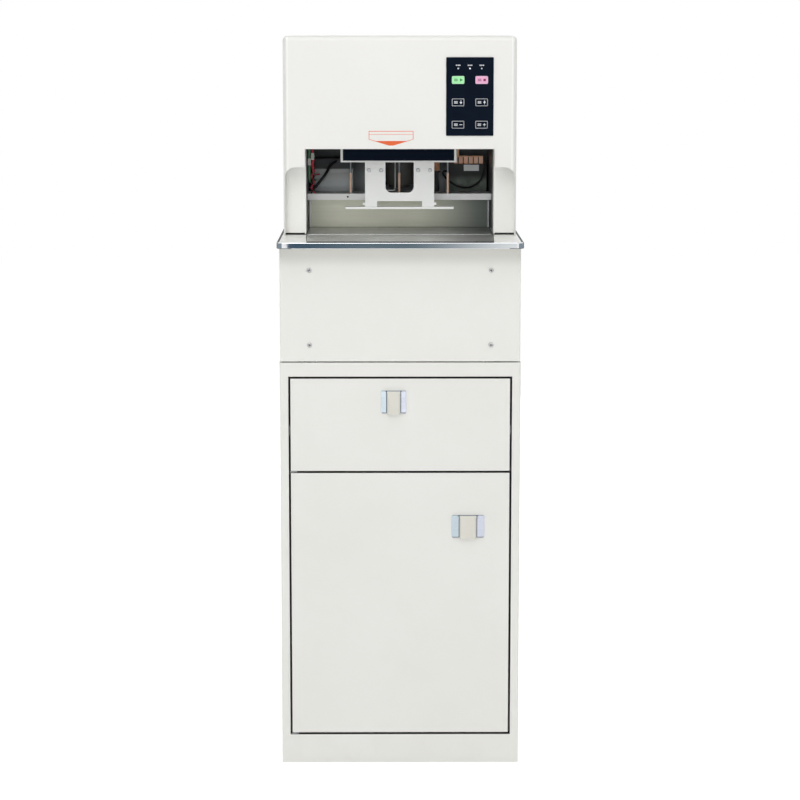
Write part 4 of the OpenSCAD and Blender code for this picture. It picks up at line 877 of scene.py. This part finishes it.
# %% Black blocks of painted shade under the cheeks, and the fence's folded ends
cheek_low, cheek_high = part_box("cheek_covers")
table_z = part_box("table_slab")[1].z
fence_low, fence_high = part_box("paper_fence")
for side, hand in ((-1, "left"), (1, "right")):
    near, far = sorted((side * 0.1605, side * (cheek_high.x - 0.0002)))
    cheek_gap_block = block((near, cheek_low.y - 0.0008, table_z), (far, cheek_low.y + 0.0035, table_z + 0.0034), 0.0009)
    finish_piece(cheek_gap_block, "cheek_gap_shade_" + hand, black_rubber_and_gap_shade, "machine")
    near, far = sorted((side * 0.1545, side * 0.1578))
    end = block((near, 0.062, table_z + 0.0004), (far, fence_low.y, fence_high.z - 0.0006), 0.0012)
    finish_piece(end, "fence_end_" + hand, ground_steel, "machine")

# %% Polished strip where two steel plates meet
seam_y, strip_half, strip_inset, strip_rise = -0.080, 0.004, 0.004, 0.0009
strip_low = (plate_low.x + strip_inset, seam_y - strip_half, table_z)
strip_high = (plate_high.x - strip_inset, seam_y + strip_half, table_z + strip_rise)
finish_piece(block(strip_low, strip_high, 0.0004), "plate_joint", ground_steel, "machine")

# %% Black bead of painted shade between the work plate and the chrome trim
bead_inset = lean_in + 0.0006
bead_low = (plate_low.x + bead_inset, plate_low.y + 0.0004, table_z)
bead_high = (plate_high.x - bead_inset, plate_low.y + 0.0024, table_z + 0.0017)
finish_piece(block(bead_low, bead_high, 0.0005), "plate_gap_shade", black_rubber_and_gap_shade, "machine")

# %% [markdown]
# ## What shows inside the head
# Past the presser one sees white connectors on the wires, a red and a dark lead twisted round each other, a blank label
# and a copper bar on the control box, and a copper-wound coil on a dark post. Most are bevelled blocks. A lead is a
# circle swept up a helix by the Screw modifier, with its ends filled. The coil is a ring that repeats up the core, so
# its turns catch the light one by one.

# %% Nylon connectors
nylon = moulded("nylon", (0.70, 0.70, 0.66), (0.62, 0.62, 0.58), 0.4)
for wire, x, y, z in (("green", -0.156, 0.0315, 1.004), ("red", -0.1503, 0.0375, 1.013)):
    shell = block((x - 0.0026, y - 0.003, z - 0.006), (x + 0.0026, y + 0.003, z + 0.006), 0.0006)
    collar = block((x - 0.003, y - 0.0034, z - 0.001), (x + 0.003, y + 0.0034, z + 0.0015), 0.0004)
    finish_piece(joined([shell, collar]), wire + "_connector", nylon, "machine")

# %% Twisted leads beside the left plate
def twisted_lead(start_angle, thick, finish, name):
    foot, swing = (-0.1512, 0.0625, 0.9486), 0.0021
    turns, pitch, steps_a_turn = 3, 0.0195, 22
    steps = steps_a_turn * turns
    across = (math.pi / 2, 0, 0)
    deselect()
    bpy.ops.mesh.primitive_circle_add(vertices=10, radius=thick / 2, location=(swing, 0, 0), rotation=across)
    lead = bpy.context.object
    settle(lead)
    climb = {"angle": 2 * math.pi * turns, "screw_offset": pitch * turns}
    apply_modifier(lead, "SCREW", steps=steps, render_steps=steps, **climb)
    lead.rotation_euler.z = start_angle
    lead.location = foot
    settle(lead)
    edit_merged(lead)
    bpy.ops.mesh.select_all(action="DESELECT")
    bpy.ops.mesh.select_non_manifold()
    bpy.ops.mesh.edge_face_add()
    bpy.ops.mesh.select_all(action="SELECT")
    bpy.ops.mesh.normals_make_consistent(inside=False)
    bpy.ops.object.mode_set(mode="OBJECT")
    bpy.ops.object.shade_smooth_by_angle(angle=math.radians(50))
    finish_piece(lead, name, finish, "machine")


red_lead = moulded("red_lead", (0.72, 0.07, 0.11), (0.62, 0.05, 0.08), 0.3)
dark_lead = moulded("dark_lead", (0.030, 0.020, 0.020), (0.045, 0.030, 0.030), 0.3)
twisted_lead(0.4, 0.0030, red_lead, "twisted_lead_red")
twisted_lead(0.4 + math.pi, 0.0024, dark_lead, "twisted_lead_dark")

# %% Blank label and copper bar on the control box
label_film = film("label_film", (0.78, 0.80, 0.80), (0.70, 0.72, 0.72), 0.4)
box_y, box_top = box_low.y, box_high.z
label = block((0.1155, box_y - 0.0003, 0.9815), (0.1425, box_y, 0.9925), 0.00012)
finish_piece(label, "blank_label", label_film, "machine")
copper_metal = bare_metal("copper_metal", (1.0, 0.58, 0.36), (0.90, 0.48, 0.28), 0.3, along_z)
copper_metal.set(Metallic=0.15)
bar = block((0.1035, box_y + 0.010, box_top - 0.001), (0.1075, box_y + 0.014, box_top + 0.022), 0.0008)
bar_foot = block((0.101, box_y + 0.0085, box_top - 0.0001), (0.150, box_y + 0.0205, box_top + 0.0018), 0.0006)
finish_piece(joined([bar, bar_foot]), "copper_bar", copper_metal, "machine")

# %% Copper-wound coil on its post
coil_x, coil_y = 0.0655, 0.136


def coil_part(half_x, half_y, foot_z, top_z, edge):
    return block((coil_x - half_x, coil_y - half_y, foot_z), (coil_x + half_x, coil_y + half_y, top_z), edge)


post = coil_part(0.005, 0.005, table_z, 1.006, 0.001)
post_foot = coil_part(0.010, 0.009, table_z, table_z + 0.004, 0.001)
cap = coil_part(0.0078, 0.0078, 1.0035, 1.0055, 0.0006)
seat = coil_part(0.0078, 0.0078, 0.9805, 0.9825, 0.0006)
finish_piece(joined([post, post_foot, cap, seat]), "coil_post", black_plastic, "machine")
deselect()
ring = {"major_radius": 0.0064, "minor_radius": 0.0006, "major_segments": 28, "minor_segments": 6}
bpy.ops.mesh.primitive_torus_add(location=(coil_x, coil_y, 0.9832), **ring)
coil = bpy.context.object
settle(coil)
ring_step = {"use_constant_offset": True, "constant_offset_displace": (0, 0, 0.00115)}
apply_modifier(coil, "ARRAY", count=18, use_relative_offset=False, **ring_step)
bpy.ops.object.shade_smooth()
finish_piece(coil, "coil_winding", copper_metal, "machine")

# %% [markdown]
# ## Centre mark
# A sticker over the throat shows where the middle of the stack goes: an orange shield with its point downward and a
# pale field on it. A shield is a flat block whose lower face is extruded down and pinched. The pale field is a smaller
# shield a few hundredths of a millimetre further out, and what it leaves free is the orange border and the tip.

# %% Shields made by pinching an extrusion
def shield(left, right, top, side, tip, pinch, rise):
    piece = cube((left, hood_low.y - rise, side), (right, hood_low.y, top))
    pick(piece, lambda place: place.z < (top + side) / 2)
    bpy.ops.mesh.extrude_region_move(TRANSFORM_OT_translate={"value": (0, 0, tip - side)})
    bpy.ops.transform.resize(value=(pinch, 1, 1))
    bpy.ops.object.mode_set(mode="OBJECT")
    sharp = math.radians(60)
    apply_modifier(piece, "BEVEL", width=rise * 0.3, segments=1, limit_method="ANGLE", angle_limit=sharp)
    return piece


mark_left, mark_right, mark_top, mark_line = -0.0520, 0.0227, 1.0630, 0.001
field_left, field_right, field_top = mark_left + mark_line, mark_right - mark_line, mark_top - mark_line
orange_ink = film("orange_ink", (0.80, 0.16, 0.06), (0.74, 0.13, 0.05))
pale_ink = film("pale_ink", (0.84, 0.83, 0.80), (0.80, 0.79, 0.76))
mark_border = shield(mark_left, mark_right, mark_top, mark_top - 0.014, mark_top - 0.0242, 0.10, 0.00010)
finish_piece(mark_border, "mark_border", orange_ink, "machine")
field = shield(field_left, field_right, field_top, mark_top - 0.0136, mark_top - 0.0166, 0.70, 0.00016)
finish_piece(field, "mark_field", pale_ink, "machine")
rule_low = (field_left, hood_low.y - 0.0002, mark_top - 0.0058)
rule_high = (field_right, hood_low.y, mark_top - 0.0051)
finish_piece(block(rule_low, rule_high, 0.00005, 1), "mark_rule", orange_ink, "machine")

# %% [markdown]
# ## Signs on the keys
# Each key carries two printed signs: a stack of paper on its left and, on its right, a triangle for start, a square for
# stop, arrows for pressing and lifting, and a minus and a plus for the depth. Ink could be drawn in the finish, as the
# outlines are; arrows are easier to shape from bars and triangles, so they are thin plates that ride their key.

# %% Bars and triangles of ink
ink_rise, ink_edge = 0.00012, 0.00004


def ink_bar(x, z, wide, high, front):
    low_corner = (x - wide / 2, front - ink_rise, z - high / 2)
    return block(low_corner, (x + wide / 2, front, z + high / 2), ink_edge, 1)


def ink_triangle(x, z, size, turn, front):
    deselect()
    stand = {"location": (x, front - ink_rise / 2, z), "rotation": (math.pi / 2, turn, 0)}
    bpy.ops.mesh.primitive_cylinder_add(vertices=3, radius=size / 2, depth=ink_rise, **stand)
    piece = bpy.context.object
    settle(piece)
    apply_modifier(piece, "BEVEL", width=ink_edge, segments=1, limit_method="ANGLE")
    return piece


# %% Signs made of them
def key_sign(name, ink, shapes):
    low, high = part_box(name)
    x, z = (low.x + high.x) / 2, (low.z + high.z) / 2
    stack_x, sign_x, sheet_step = x - 0.0036, x + 0.0048, 0.0015
    plates = [ink_bar(stack_x, z + step * sheet_step, 0.0058, 0.0008, low.y) for step in (-1, 0, 1)]
    for make, rise, first, second in shapes:
        plates.append(make(sign_x, z + rise, first, second, low.y))
    finish_piece(joined(plates), name + "_sign", ink, name)


up, right_way, down = 0, math.pi / 2, math.pi
key_ink = film("key_ink", white_ink, (0.72, 0.74, 0.76))
start_ink = film("start_ink", (0.06, 0.25, 0.08), (0.05, 0.20, 0.07))
stop_ink = film("stop_ink", (0.30, 0.05, 0.12), (0.25, 0.04, 0.10))
minus = (ink_bar, 0, 0.0048, 0.0010)
key_sign("key_start", start_ink, [(ink_triangle, 0, 0.0062, right_way)])
key_sign("key_stop", stop_ink, [(ink_bar, 0, 0.0040, 0.0040)])
key_sign("key_press", key_ink, [(ink_triangle, -0.0008, 0.0050, down), (ink_bar, 0.0018, 0.0010, 0.0030)])
key_sign("key_lift", key_ink, [(ink_triangle, 0.0008, 0.0050, up), (ink_bar, -0.0018, 0.0010, 0.0030)])
key_sign("key_less", key_ink, [minus])
key_sign("key_more", key_ink, [minus, (ink_bar, 0, 0.0010, 0.0048)])

# %% Ticks over the lamps
keypad_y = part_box("keypad_panel")[0].y
tick_z = (lamp_low.z + lamp_high.z) / 2 + 0.0053
tick_size, tick_step, lamp_radius = 0.0019, 0.0028, 0.0012
ticks = []
for lamp_x in (lamp_low.x + lamp_radius, lamp_middle, lamp_high.x - lamp_radius):
    for step in (-1, 0, 1):
        ticks.append(ink_bar(lamp_x + step * tick_step, tick_z, tick_size, tick_size, keypad_y))
finish_piece(joined(ticks), "lamp_ticks", key_ink, "machine")

# %% [markdown]
# ## Solids without a finish
# The last cell lists the solids that still have no finish.

# %% List the solids without a finish
bare_solids = [n for n, o in node_of.items() if not o.data.materials or o.data.materials[0] is None]
print("solids without a finish:", bare_solids)
